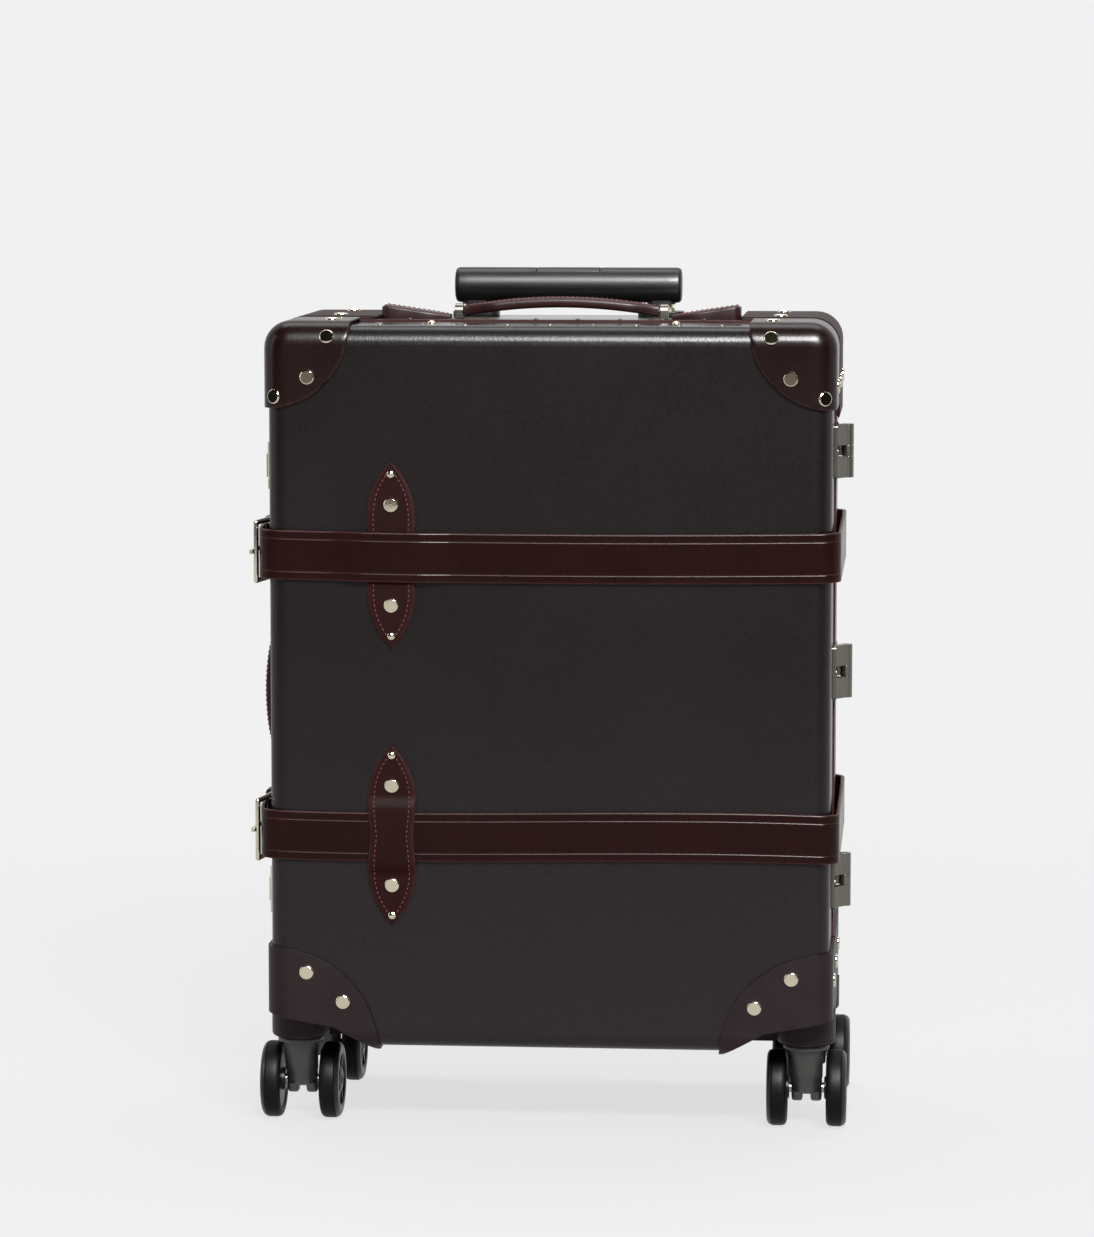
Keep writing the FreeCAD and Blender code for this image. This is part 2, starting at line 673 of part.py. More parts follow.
def hasp_mount(z):
    """The plate and outer knuckles on the lid that carry a hasp."""
    px, py = HASP_PIVOT
    x0 = -HALF_W - FIT
    plate = box(x0 - 1.8, x0, -60, -38.5, z - LATCH_H / 2, z + LATCH_H / 2)
    plate = plate.makeFillet(2.0, edges_along(plate, V(1, 0, 0)))
    solids = [plate]
    for low, high in ((-LATCH_H / 2, -8.4), (8.4, LATCH_H / 2)):
        solids.append(cylinder(2.6, (px, py, z + low), (0, 0, 1), high - low))
        solids.append(box(px, x0 - 1, py - 2.2, py + 2.2, z + low, z + high))
    pin = cylinder(1.2, (px, py, z - LATCH_H / 2), (0, 0, 1), LATCH_H)
    return fuse_all(solids + [pin])


def hasp(z):
    """The hinged flap that bridges the seam rim and drops its staple into the lock."""
    px, py = HASP_PIVOT
    barrel = cylinder(2.6, (px, py, z - 8.0), (0, 0, 1), 16.0)
    x_out, x_in = px - 1.4 - HASP_T, px - 1.4
    plate = box(x_out, x_in, py, -8.0, z - 8.0, z + 8.0)
    nose = [e for e in edges_along(plate, V(1, 0, 0)) if e.Vertexes[0].Y > -9]
    plate = plate.makeFillet(4.0, nose)
    staple = box(x_in - 0.5, -191.6, -22.0, -18.0, z - 3.6, z + 3.6)
    bore = cylinder(1.2 + RUNNING, (px, py, z - 9), (0, 0, 1), 18)
    return fuse_all([barrel, plate, staple]).cut(bore)


def fork(x, y):
    """A caster fork: stem, bearing plate and a leg that trails to the axle."""
    stem = cylinder(STEM_R, (0, 0, COLLAR_Z - 1.4), (0, 0, 1), POCKET_ROOF - COLLAR_Z - 1)
    plate = cylinder(15.5, (0, 0, COLLAR_Z - 3.6), (0, 0, 1), 3.2)
    half = FORK_W / 2
    top_z = COLLAR_Z - 3.4
    profile = [(-13, top_z), (13, top_z), (TRAIL + 8.6, WHEEL_R + 4), (TRAIL + 6, WHEEL_R - 7),
               (TRAIL - 5, WHEEL_R - 8.5), (-6.5, WHEEL_R + 6)]
    leg = polygon_face([V(-half, across, z) for across, z in profile]).extrude(V(FORK_W, 0, 0))
    leg = leg.makeFillet(3.0, edges_along(leg, V(1, 0, 0)))
    notch = box(-3.2, 3.2, TRAIL - 20, TRAIL + 20, 0, WHEEL_R - 5.2)
    axle_bore = cylinder(AXLE_R + RUNNING, (-half - 1, TRAIL, WHEEL_R), (1, 0, 0), FORK_W + 2)
    whole = fuse_all([stem, plate, leg]).cut([notch, axle_bore])
    return moved(whole, x, y, 0)


def axle(x, y):
    """The axle that both wheels of a caster are pressed on."""
    length = 2 * (WHEEL_OFFSET + WHEEL_W / 2) - 3
    return cylinder(AXLE_R, (x - length / 2, y + TRAIL, WHEEL_R), (1, 0, 0), length)


def wheel(x, y, side):
    """One wheel of a twin caster, with a dished outer face and an inner hub."""
    half = WHEEL_W / 2
    rim = 3.5
    profile = [(AXLE_R + 0.01, -half - 1.5), (7.6, -half - 1.5), (7.6, -half), (WHEEL_R - rim, -half),
               (WHEEL_R, -half + rim), (WHEEL_R, half - rim), (WHEEL_R - rim, half), (18.0, half),
               (16.5, half - 1.6), (8.5, half - 1.6), (7.0, half - 0.2), (AXLE_R + 0.01, half - 0.2)]
    points = [V(side * across, 0, r) for r, across in profile]
    solid = polygon_face(points).revolve(V(0, 0, 0), V(1, 0, 0), 360)
    circles = [e for e in solid.Edges if e.Curve.TypeId == "Part::GeomCircle"]
    crest = [e for e in circles if abs(e.Curve.Radius - WHEEL_R) < 1e-6]
    solid = solid.makeFillet(2.0, crest)
    return moved(solid, x + side * WHEEL_OFFSET, y + TRAIL, WHEEL_R)


def grip_core():
    """The grip's inner bar with tube sockets and the button's well."""
    bar = cylinder(GRIP_CORE_R, (-GRIP_HALF + 3, TROLLEY_Y, GRIP_Z), (1, 0, 0), 2 * GRIP_HALF - 6)
    centre = cylinder(GRIP_R, (-BUTTON_HALF - 4, TROLLEY_Y, GRIP_Z), (1, 0, 0), 2 * BUTTON_HALF + 8)
    socket_z = GRIP_Z - GRIP_R - 1.0
    sockets = tube_space(INNER_TUBE, 1.8, socket_z, GRIP_Z)
    holes = tube_space(INNER_TUBE, 0.02, socket_z - 1, GRIP_Z - 6)
    well = box(-BUTTON_HALF - 0.4, BUTTON_HALF + 0.4, TROLLEY_Y - 7.4, TROLLEY_Y + 7.4,
               GRIP_Z - 1.0, GRIP_Z + 30)
    return fuse_all([bar, centre] + sockets).cut(holes + [well])


def grip_sleeve():
    """The left grip sleeve with a domed end."""
    x0, x1 = -GRIP_HALF, -BUTTON_HALF - 4.1
    sleeve = cylinder(GRIP_R, (x0, TROLLEY_Y, GRIP_Z), (1, 0, 0), x1 - x0)
    rim = [e for e in sleeve.Edges if abs(e.BoundBox.XMax - x0) < 1e-6]
    sleeve = sleeve.makeFillet(5.0, rim)
    core = cylinder(GRIP_CORE_R + 0.02, (x0 + 2.9, TROLLEY_Y, GRIP_Z), (1, 0, 0), 200)
    sockets = tube_space(INNER_TUBE, 1.85, GRIP_Z - 30, GRIP_Z)
    return sleeve.cut([core] + sockets)


def grip_button():
    """The push button in the middle of the grip."""
    crown = cylinder(GRIP_R + BUTTON_PROUD, (-BUTTON_HALF, TROLLEY_Y, GRIP_Z), (1, 0, 0), 2 * BUTTON_HALF)
    keep = box(-BUTTON_HALF, BUTTON_HALF, TROLLEY_Y - 7, TROLLEY_Y + 7,
               GRIP_Z - 1.0 + BUTTON_TRAVEL + 0.3, GRIP_Z + 30)
    return crown.common(keep)


def on_edge(thickness, tilt):
    """Place on the rounded front edge of a skin: distance in from the body's side, and depth."""
    radius = FACE_R + thickness - RIVET_SINK
    inset = FACE_R - radius * math.sin(tilt)
    return inset, FRONT_Y + FACE_R - radius * math.cos(tilt)


def front_marks():
    """Rivets of the lid's corners and housings as (kind, point, normal, depth)."""
    marks = []
    leather_y = FRONT_Y - LID_CORNER_T
    housing_y = FRONT_Y - HOUSING_T
    leather_in = LID_CORNER_T + BOARD - SHANK_SHORT
    housing_in = HOUSING_T + BOARD - SHANK_SHORT
    up, aside = math.radians(EDGE_TILT_UP), math.radians(EDGE_TILT_ASIDE)
    face_x, face_z = LID_FACE_RIVET
    top_inset, top_y = on_edge(LID_CORNER_T, up)
    side_inset, side_y = on_edge(LID_CORNER_T, aside)
    top_normal = (0, -math.cos(up), math.sin(up))
    for s in (-1, 1):
        marks.append((RIVET, (s * LID_TOP_RIVET_X, top_y, TOP_Z - top_inset), top_normal, leather_in))
        marks.append((RIVET, (s * face_x, leather_y, face_z), (0, -1, 0), leather_in))
        side_normal = (s * math.sin(aside), -math.cos(aside), 0)
        marks.append((RIVET, (s * (HALF_W - side_inset), side_y, LID_EDGE_RIVET_Z), side_normal, leather_in))
        for x, z in HOUSING_RIVETS:
            marks.append((RIVET, (s * x, housing_y, z), (0, -1, 0), housing_in))
        corner_top = (s * LID_TOP_RIVET_X, LID_SIDE_RIVET_Y, TOP_Z + LID_CORNER_T)
        marks.append((RIVET, corner_top, (0, 0, 1), leather_in))
        corner_side = (s * (HALF_W + LID_CORNER_T), LID_SIDE_RIVET_Y, CORNER_SIDE_RIVET_Z)
        marks.append((RIVET, corner_side, (s, 0, 0), leather_in))
        housing_side = (s * (HALF_W + HOUSING_T), LID_SIDE_RIVET_Y, HOUSING_SIDE_RIVET_Z)
        marks.append((RIVET, housing_side, (s, 0, 0), housing_in))
        marks.append((STUD, (s * TOP_STUD_X, TOP_STUD_Y, TOP_Z), (0, 0, 1), BOARD - SHANK_SHORT))
    return marks


def row_places(count):
    """Places along X of an evenly spaced, centred row of studs."""
    return [ROW_PITCH * (i - (count - 1) / 2) for i in range(count)]


def lid_marks():
    """All rivets of the lid."""
    marks = front_marks()
    row = row_places(ROW_COUNT)
    for x in row:
        marks.append((ROW_STUD, (x, FRONT_Y + ROW_INSET, TOP_Z), (0, 0, 1), BOARD - SHANK_SHORT))
    for x in row[1:-1]:
        marks.append((ROW_STUD, (x, FRONT_Y + ROW_INSET, BOTTOM_Z), (0, 0, -1), BOARD - SHANK_SHORT))
    flat_y = FRONT_Y - FIT - KEEPER_T
    keeper_in = KEEPER_T + BOARD - SHANK_SHORT
    for z in STRAP_ZS.values():
        for s in (-1, 1):
            for kind, reach in ((RIVET, KEEPER_RIVET), (STUD, KEEPER_STUD)):
                marks.append((kind, (KEEPER_X, flat_y, z + s * reach), (0, -1, 0), keeper_in))
    return marks


def base_marks():
    """All rivets of the base."""
    marks = []
    leather_y = REAR_Y + BASE_CORNER_T
    housing_y = REAR_Y + HOUSING_T
    for s in (-1, 1):
        for x, z in REAR_FACE_RIVETS:
            marks.append((RIVET, (s * x, leather_y, z), (0, 1, 0), BASE_CORNER_T + BOARD - SHANK_SHORT))
        for x, z in HOUSING_RIVETS:
            marks.append((RIVET, (s * x, housing_y, z), (0, 1, 0), HOUSING_T + BOARD - SHANK_SHORT))
        side_x = s * (HALF_W + BASE_CORNER_T)
        through = BASE_CORNER_T + BOARD - SHANK_SHORT
        for y in BASE_SIDE_RIVET_YS:
            marks.append((RIVET, (s * BASE_TOP_RIVET_X, y, TOP_Z + BASE_CORNER_T), (0, 0, 1), through))
            marks.append((RIVET, (side_x, y, CORNER_SIDE_RIVET_Z), (s, 0, 0), through))
            housing_side = (s * (HALF_W + HOUSING_T), y, HOUSING_SIDE_RIVET_Z)
            marks.append((RIVET, housing_side, (s, 0, 0), HOUSING_T + BOARD - SHANK_SHORT))
    for x in row_places(ROW_COUNT - 1):
        marks.append((RIM_PIN, (x, SEAM_Y + 2, TOP_Z + RIM_PROUD), (0, 0, 1), RIM_PROUD))
    for x in row_places(ROW_COUNT - 2):
        marks.append((ROW_STUD, (x, REAR_Y - ROW_INSET, BOTTOM_Z), (0, 0, -1), BOARD - SHANK_SHORT))
    flat_y = REAR_Y + FIT + KEEPER_T
    keeper_in = KEEPER_T + BOARD - SHANK_SHORT
    for z in STRAP_ZS.values():
        for s in (-1, 1):
            for kind, reach in ((RIVET, KEEPER_RIVET), (STUD, KEEPER_STUD)):
                marks.append((kind, (KEEPER_X, flat_y, z + s * reach), (0, 1, 0), keeper_in))
    return marks


def leaf_marks(side):
    """Rivets of the hinge leaves on the lid (side -1) or base (side +1)."""
    x = HALF_W + FIT + LEAF_T
    y = SEAM_Y + side * LEAF_RIVET_REACH
    offsets = (0.0,) if side < 0 else (-LEAF_RIVET_SPREAD, LEAF_RIVET_SPREAD)
    leaf_in = LEAF_T + BOARD - SHANK_SHORT
    return [(ROW_STUD, (x, y, z + dz), (1, 0, 0), leaf_in) for z in HINGE_ZS for dz in offsets]


def near_holes(shape, holes):
    """The holes that reach a shape."""
    box_of = shape.BoundBox
    return [h for h in holes if box_of.intersect(h.BoundBox)]


def riveted(shapes, holes):
    """Shapes with their rivet holes cut."""
    drilled = []
    for shape in shapes:
        near = near_holes(shape, holes)
        drilled.append(shape.cut(near) if near else shape)
    return drilled


def build_lid():
    """All nodes of the lid."""
    marks = lid_marks() + leaf_marks(-1)
    holes = [rivet_hole(*m) for m in marks]
    edge = SEAM_Y - SEAM_GAP
    shell = envelope(0, 0, edge, -1).cut(envelope(-BOARD, 0, edge + 1, -1))
    shell = shell.cut(caster_pockets(POCKET_WALL + FIT, -1))
    frame = band_around(-BOARD - 0.05, -BOARD - FRAME_T, edge - FRAME_DEPTH, edge)
    frame = frame.cut(caster_pockets(POCKET_WALL + 0.3, -1))
    back = edge - FRAME_DEPTH - 0.1
    lining = envelope(-BOARD - 0.2, 0, back, -1).cut(envelope(-BOARD - 0.2 - LINING_T, 0, back + 1, -1))
    lining = lining.cut(caster_pockets(POCKET_WALL + 0.3, -1))
    corner = leather_corner(LID_CORNER_T, LID_CORNER_REACH, -1, SEAM_Y - 2)
    housing = wheel_housing(-1, SEAM_Y - 2)
    keepers = []
    for where, bridged in (("upper", False), ("lower", True)):
        keepers.append(moved(keeper(KEEPER_HALF[where], bridged), KEEPER_X, FRONT_Y, STRAP_ZS[where]))
    leaves = [hinge_leaf(z, -1) for z in HINGE_ZS]
    nodes = {
        "lid_shell": riveted([shell], holes),
        "lid_frame": [frame],
        "lid_lining": [lining],
        "lid_corner_left": riveted([corner], holes),
        "lid_corner_right": riveted([mirror_x(corner)], holes),
        "lid_wheel_housing_left": riveted([housing], holes),
        "lid_wheel_housing_right": riveted([mirror_x(housing)], holes),
        "lid_rivets": [rivet(*m) for m in marks],
        "lid_hinge_leaves": riveted(leaves, holes),
        "keeper_upper": riveted([keepers[0]], holes),
        "keeper_lower": riveted([keepers[1]], holes),
        "strap_front_upper": [front_strap("upper")],
        "strap_front_lower": [front_strap("lower")],
        "hasp_mounts": [hasp_mount(z) for z in LATCH_ZS.values()],
    }
    return nodes


def build_base():
    """All fixed nodes of the base."""
    marks = base_marks() + leaf_marks(1)
    holes = [rivet_hole(*m) for m in marks]
    outer_space = tube_space(OUTER_TUBE, FIT, 500, 560)
    shell = envelope(0, RIM_REAR_Y + 0.05, 0, 1).cut(envelope(-BOARD, RIM_REAR_Y - 1, 0, 1))
    shell = shell.cut(caster_pockets(POCKET_WALL + FIT, 1) + outer_space)
    bead = band_around(RIM_PROUD, -8.0, SEAM_Y + 0.1, RIM_REAR_Y)
    flange = band_around(-BOARD - 0.05, -BOARD - FRAME_T, RIM_REAR_Y - 0.5, RIM_FLANGE_Y)
    tongue = band_around(-6.0, -8.0, TONGUE_Y, SEAM_Y + 1)
    reach = HINGE_H / 2 + 0.3
    notches = [box(HALF_W, HALF_W + 9, -40, 0, z - reach, z + reach) for z in HINGE_ZS]
    rim = fuse_all([bead, flange, tongue]).cut(notches)
    back = envelope(-BOARD - 0.2, RIM_FLANGE_Y + 0.1, FALSE_BACK_Y + 1.5)
    room = envelope(-BOARD - 0.2 - LINING_T, RIM_FLANGE_Y - 1, FALSE_BACK_Y)
    lining = back.cut(room).cut(caster_pockets(POCKET_WALL + 0.3, 1))
    corner = leather_corner(BASE_CORNER_T, BASE_CORNER_REACH, 1, RIM_REAR_Y + 0.6)
    housing = wheel_housing(1, RIM_REAR_Y + 0.6)
    leaves = [hinge_leaf(z, 1) for z in HINGE_ZS]
    flap = mirror_y(keeper(KEEPER_HALF["upper"], True))
    keepers = [moved(flap, KEEPER_X, REAR_Y, z) for z in STRAP_ZS.values()]
    bezel = box(TUBE_X - BEZEL_HALF, TUBE_X + BEZEL_HALF, TROLLEY_Y - BEZEL_DEEP, TROLLEY_Y + BEZEL_DEEP,
                TOP_Z + FIT, BEZEL_TOP)
    bezel = bezel.makeFillet(8.0, edges_along(bezel, V(0, 0, 1)))
    seats = tube_space(OUTER_TUBE, 0.02, 500, BEZEL_TOP - 1.2)
    bezel = bezel.cut(seats + tube_space(MIDDLE_TUBE, 0.35, 500, 600))
    bracket = box(-TUBE_X - 16, TUBE_X + 16, TROLLEY_Y - 9, TROLLEY_Y + 9,
                  BOTTOM_Z + BOARD + FIT, TUBE_FOOT_Z)
    nodes = {
        "base_shell": riveted([shell], holes),
        "base_rim": riveted([rim], holes),
        "base_lining": [lining],
        "base_corner_left": riveted([corner], holes),
        "base_corner_right": riveted([mirror_x(corner)], holes),
        "base_wheel_housing_left": riveted([housing], holes),
        "base_wheel_housing_right": riveted([mirror_x(housing)], holes),
        "base_rivets": [rivet(*m) for m in marks],
        "base_hinge_leaves": riveted(leaves, holes),
        "hinge_pins": [hinge_pin(z) for z in HINGE_ZS],
        "rear_keepers": riveted(keepers, holes),
        "straps_rear": [rear_strap(where) for where in STRAP_ZS],
        "strap_loops": [strap_loop(z) for z in STRAP_ZS.values()],
        "buckle_frames": [buckle_frame(z) for z in STRAP_ZS.values()],
        "lock_bodies": [lock_body(z) for z in LATCH_ZS.values()],
        "trolley_outer_tubes": tube_pair(OUTER_TUBE, TUBE_FOOT_Z + 0.05, BEZEL_TOP - 1.25),
        "trolley_bezel": [mirror_x(bezel), bezel],
        "trolley_bracket": [bracket],
        "top_handle_posts": on_top(handle_posts(TOP_HANDLE_HALF)),
        "top_handle_tabs": on_top(handle_tabs(TOP_HANDLE_HALF, TOP_TAB_END, TOP_TAB_HIGH)),
        "side_handle_posts": on_side(handle_posts(SIDE_HANDLE_HALF)),
        "side_handle_tabs": on_side(handle_tabs(SIDE_HANDLE_HALF, SIDE_TAB_END, SIDE_TAB_HIGH)),
    }
    return nodes


def build_moving():
    """All nodes that move on their own."""
    sleeve = grip_sleeve()
    nodes = {
        "trolley_middle_tubes": tube_pair(MIDDLE_TUBE, TUBE_FOOT_Z + 4, 548.5),
        "trolley_inner_tubes": tube_pair(INNER_TUBE, TUBE_FOOT_Z + 8, GRIP_Z - 6.1),
        "grip_core": [grip_core()],
        "grip_sleeves": [sleeve, mirror_x(sleeve)],
        "grip_button": [grip_button()],
        "top_handle": on_top([handle_leather(TOP_HANDLE_HALF)]),
        "side_handle": on_side([handle_leather(SIDE_HANDLE_HALF)]),
    }
    for where, z in LATCH_ZS.items():
        nodes["hasp_" + where] = [hasp(z)]
    for where, z in STRAP_ZS.items():
        nodes["prong_" + where] = [prong(z)]
    for end, y in (("front", -CASTER_Y), ("rear", CASTER_Y)):
        for hand, x in (("left", -CASTER_X), ("right", CASTER_X)):
            place = end + "_" + hand
            nodes["fork_" + place] = [fork(x, y)]
            nodes["axle_" + place] = [axle(x, y)]
            nodes["wheels_" + place] = [wheel(x, y, s) for s in (-1, 1)]
    return nodes


def main():
    """Build every node and write one STEP file for each."""
    os.makedirs(PARTS_DIR, exist_ok=True)
    nodes = {}
    nodes.update(build_lid())
    nodes.update(build_base())
    nodes.update(build_moving())
    for name, solids in nodes.items():
        single = []
        for solid in solids:
            single += solid.Solids
        shape = single[0] if len(single) == 1 else Part.makeCompound(single)
        shape.exportStep(PARTS_DIR + "/" + name + ".step")
        print(name, len(single), "valid" if shape.isValid() else "INVALID", round(shape.Volume / 1000, 2))
    print(len(nodes), "nodes")


main()
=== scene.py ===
"""Looks of a wheeled fibreboard suitcase with leather straps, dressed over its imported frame."""
import json
import logging
import math
from collections.abc import Callable, Sequence
from dataclasses import dataclass
from enum import Enum
from typing import ClassVar

import bmesh
import bpy
from mathutils import Matrix, Vector

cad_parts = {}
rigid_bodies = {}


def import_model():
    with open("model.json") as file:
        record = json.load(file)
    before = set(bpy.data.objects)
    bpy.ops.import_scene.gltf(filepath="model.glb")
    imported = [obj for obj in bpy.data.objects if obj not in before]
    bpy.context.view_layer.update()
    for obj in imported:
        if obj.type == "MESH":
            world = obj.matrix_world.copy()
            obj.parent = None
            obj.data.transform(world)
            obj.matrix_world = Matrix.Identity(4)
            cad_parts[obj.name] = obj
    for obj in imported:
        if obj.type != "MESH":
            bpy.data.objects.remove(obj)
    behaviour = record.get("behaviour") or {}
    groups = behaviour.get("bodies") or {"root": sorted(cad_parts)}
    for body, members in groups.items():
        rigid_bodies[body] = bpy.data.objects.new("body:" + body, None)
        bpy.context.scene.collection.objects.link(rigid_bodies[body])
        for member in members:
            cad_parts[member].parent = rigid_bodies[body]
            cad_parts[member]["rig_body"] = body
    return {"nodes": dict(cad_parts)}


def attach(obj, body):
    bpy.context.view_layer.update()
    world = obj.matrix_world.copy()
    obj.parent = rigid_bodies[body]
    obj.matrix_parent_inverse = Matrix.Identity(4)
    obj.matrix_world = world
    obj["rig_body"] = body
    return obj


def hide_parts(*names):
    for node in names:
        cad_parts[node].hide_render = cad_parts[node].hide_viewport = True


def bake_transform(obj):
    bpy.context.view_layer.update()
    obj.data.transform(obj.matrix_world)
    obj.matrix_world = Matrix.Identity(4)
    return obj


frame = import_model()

LOG = logging.getLogger("suitcase")
MM = 0.001
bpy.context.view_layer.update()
CASE_MIDDLE = Vector((0, 0, 0.3))
# In millimetres: the body's half width and top, each half's face from the middle of the depth, and the
# keepers' place and thickness.
HALF_WIDTH = 187.5
TOP = 543.0
FACE = 100.0
KEEPER_X = -104.5
KEEPER_THICK = 2.5
# Points closer than this, in metres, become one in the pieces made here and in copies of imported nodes.
WELD = 2e-6
NODE_WELD = 4e-6
# In degrees: faces of a copy that bend by less join, and its edges that bend by more are eased.
FLAT = 0.5
EASED_ANGLE = 38.0
# Faces across an eased edge.
EASED_SEGMENTS = 2
# In degrees: edges that bend by more stay sharp, in most pieces, in softly rounded ones and in copies.
SHARP = 40.0
SOFT = 50.0
ALL_SMOOTH = 180.0

Pair = tuple[float, float]
Rgb = tuple[int, int, int]
Spot = tuple[Vector, Vector]
Ring = tuple[float, float, float, float]


class Side(Enum):
    """Left or right of the case, as the sign of x."""

    LEFT = -1
    RIGHT = 1


class Half(Enum):
    """The lid in front or the base behind, as the sign of y."""

    LID = -1
    BASE = 1

    @property
    def body(self) -> str:
        """Name of the body that this half is."""
        return self.name.lower()


class Level(Enum):
    """Height of a strap's middle line, in millimetres."""

    UPPER = 391.0
    LOWER = 203.0

    @property
    def word(self) -> str:
        """The level as it stands in node names."""
        return self.name.lower()


class Mount(Enum):
    """Where a carrying handle sits."""

    TOP = "top"
    SIDE = "side"

    @property
    def placing(self) -> Matrix:
        """Placing of a handle that is drawn along x on z = 0.

        Returns:
            Matrix from the drawing to the case.
        """
        if self is Mount.TOP:
            return Matrix.Translation((0, 14.0, TOP))
        return Matrix.Translation((-HALF_WIDTH, 2.0, 288.0)) @ Matrix.Rotation(math.radians(-90), 4, "Y")


class Slot(str, Enum):
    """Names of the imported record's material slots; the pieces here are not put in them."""

    RIM = "seam_rim"
    WOOD = "frame_wood"
    LEATHER = "leather"
    HOUSING = "housing"
    NICKEL = "nickel"
    PLASTIC = "black_plastic"
    GRIP = "grip_leather"
    STEEL = "steel"
    RUBBER = "wheel_rubber"


def linear(colour: Rgb) -> tuple[float, float, float, float]:
    """Scene-linear colour of a display colour.

    Args:
        colour: red, green and blue from 0 to 255.
    Returns:
        Linear red, green, blue and an alpha of 1.
    """
    parts = [c / 255 for c in colour]
    parts = [c / 12.92 if c <= 0.04045 else ((c + 0.055) / 1.055) ** 2.4 for c in parts]
    return (parts[0], parts[1], parts[2], 1.0)


class Sock:
    """An output socket whose arithmetic adds Math nodes."""

    def __init__(self, graph: "Graph", socket: bpy.types.NodeSocket) -> None:
        """Keep the socket and the graph that it belongs to."""
        self.graph = graph
        self.socket = socket

    def _math(self, operation: str, first: "Sock | float", second: "Sock | float") -> "Sock":
        """Add one Math node."""
        return self.graph.node("ShaderNodeMath", {"operation": operation}, {0: first, 1: second})

    def __add__(self, other: "Sock | float") -> "Sock":
        """Sum."""
        return self._math("ADD", self, other)

    def __radd__(self, other: float) -> "Sock":
        """Sum with a number in front."""
        return self._math("ADD", other, self)

    def __sub__(self, other: "Sock | float") -> "Sock":
        """Difference."""
        return self._math("SUBTRACT", self, other)

    def __rsub__(self, other: float) -> "Sock":
        """Difference from a number."""
        return self._math("SUBTRACT", other, self)

    def __mul__(self, other: "Sock | float") -> "Sock":
        """Product."""
        return self._math("MULTIPLY", self, other)

    def __rmul__(self, other: float) -> "Sock":
        """Product with a number in front."""
        return self._math("MULTIPLY", other, self)

    def __truediv__(self, other: "Sock | float") -> "Sock":
        """Quotient."""
        return self._math("DIVIDE", self, other)

    def __pow__(self, other: "Sock | float") -> "Sock":
        """Power."""
        return self._math("POWER", self, other)

    def clamped(self) -> "Sock":
        """The value held between 0 and 1."""
        return self.graph.node("ShaderNodeClamp", {}, {"Value": self})


class Graph:
    """A node tree that is written as expressions."""

    CELL_SMOOTHNESS: ClassVar[float] = 0.6

    def __init__(self, tree: bpy.types.NodeTree) -> None:
        """Keep the tree."""
        self.tree = tree

    def feed(self, socket: bpy.types.NodeSocket, value: object) -> None:
        """Link a socket to another, or set its value.

        Args:
            socket: the input to fill.
            value: a Sock to link, or a plain value.
        """
        if isinstance(value, Sock):
            self.tree.links.new(value.socket, socket)
        else:
            socket.default_value = value

    def node(self, kind: str, settings: dict | None = None, inputs: dict | None = None,
             out: int | str = 0) -> Sock | None:
        """Add a node.

        Args:
            kind: the node's type.
            settings: properties that are set first.
            inputs: values or links by socket name or number.
            out: the output that is wanted.
        Returns:
            The output, or None for a node that has none.
        """
        made = self.tree.nodes.new(kind)
        for name, value in (settings or {}).items():
            setattr(made, name, value)
        for key, value in (inputs or {}).items():
            self.feed(made.inputs[key], value)
        return Sock(self, made.outputs[out]) if made.outputs else None

    def coords(self, scale: Sequence[float] = (1, 1, 1)) -> Sock:
        """Object coordinates, stretched.

        Args:
            scale: factor along each axis.
        Returns:
            The mapped coordinates.
        """
        place = self.node("ShaderNodeTexCoord", out="Object")
        return self.node("ShaderNodeMapping", {}, {"Vector": place, "Scale": tuple(scale)})

    def noise(self, scale: float, detail: float = 2.0, stretch: Sequence[float] = (1, 1, 1)) -> Sock:
        """Noise from 0 to 1 on object coordinates.

        Args:
            scale: cells in a metre.
            detail: octaves.
            stretch: factor along each axis.
        Returns:
            The noise value.
        """
        return self.node("ShaderNodeTexNoise", {},
                         {"Vector": self.coords(stretch), "Scale": scale, "Detail": detail})

    def cells(self, scale: float, stretch: Sequence[float] = (1, 1, 1)) -> Sock:
        """Distance to the nearest point of a scattered pattern.

        Args:
            scale: cells in a metre.
            stretch: factor along each axis.
        Returns:
            The distance, about 0 to 1.
        """
        return self.node("ShaderNodeTexVoronoi", {"feature": "SMOOTH_F1"},
                         {"Vector": self.coords(stretch), "Scale": scale,
                          "Smoothness": self.CELL_SMOOTHNESS})

    def blend(self, factor: Sock | float, low: object, high: object) -> Sock:
        """Mix of two colours.

        Args:
            factor: 0 for the first, 1 for the second.
            low: first colour.
            high: second colour.
        Returns:
            The mixed colour.
        """
        return self.node("ShaderNodeMix", {"data_type": "RGBA"}, {0: factor, 6: low, 7: high}, out=2)

    def mark(self, name: str) -> Sock:
        """A value kept on the mesh itself."""
        return self.node("ShaderNodeAttribute", {"attribute_name": name}, out="Fac")


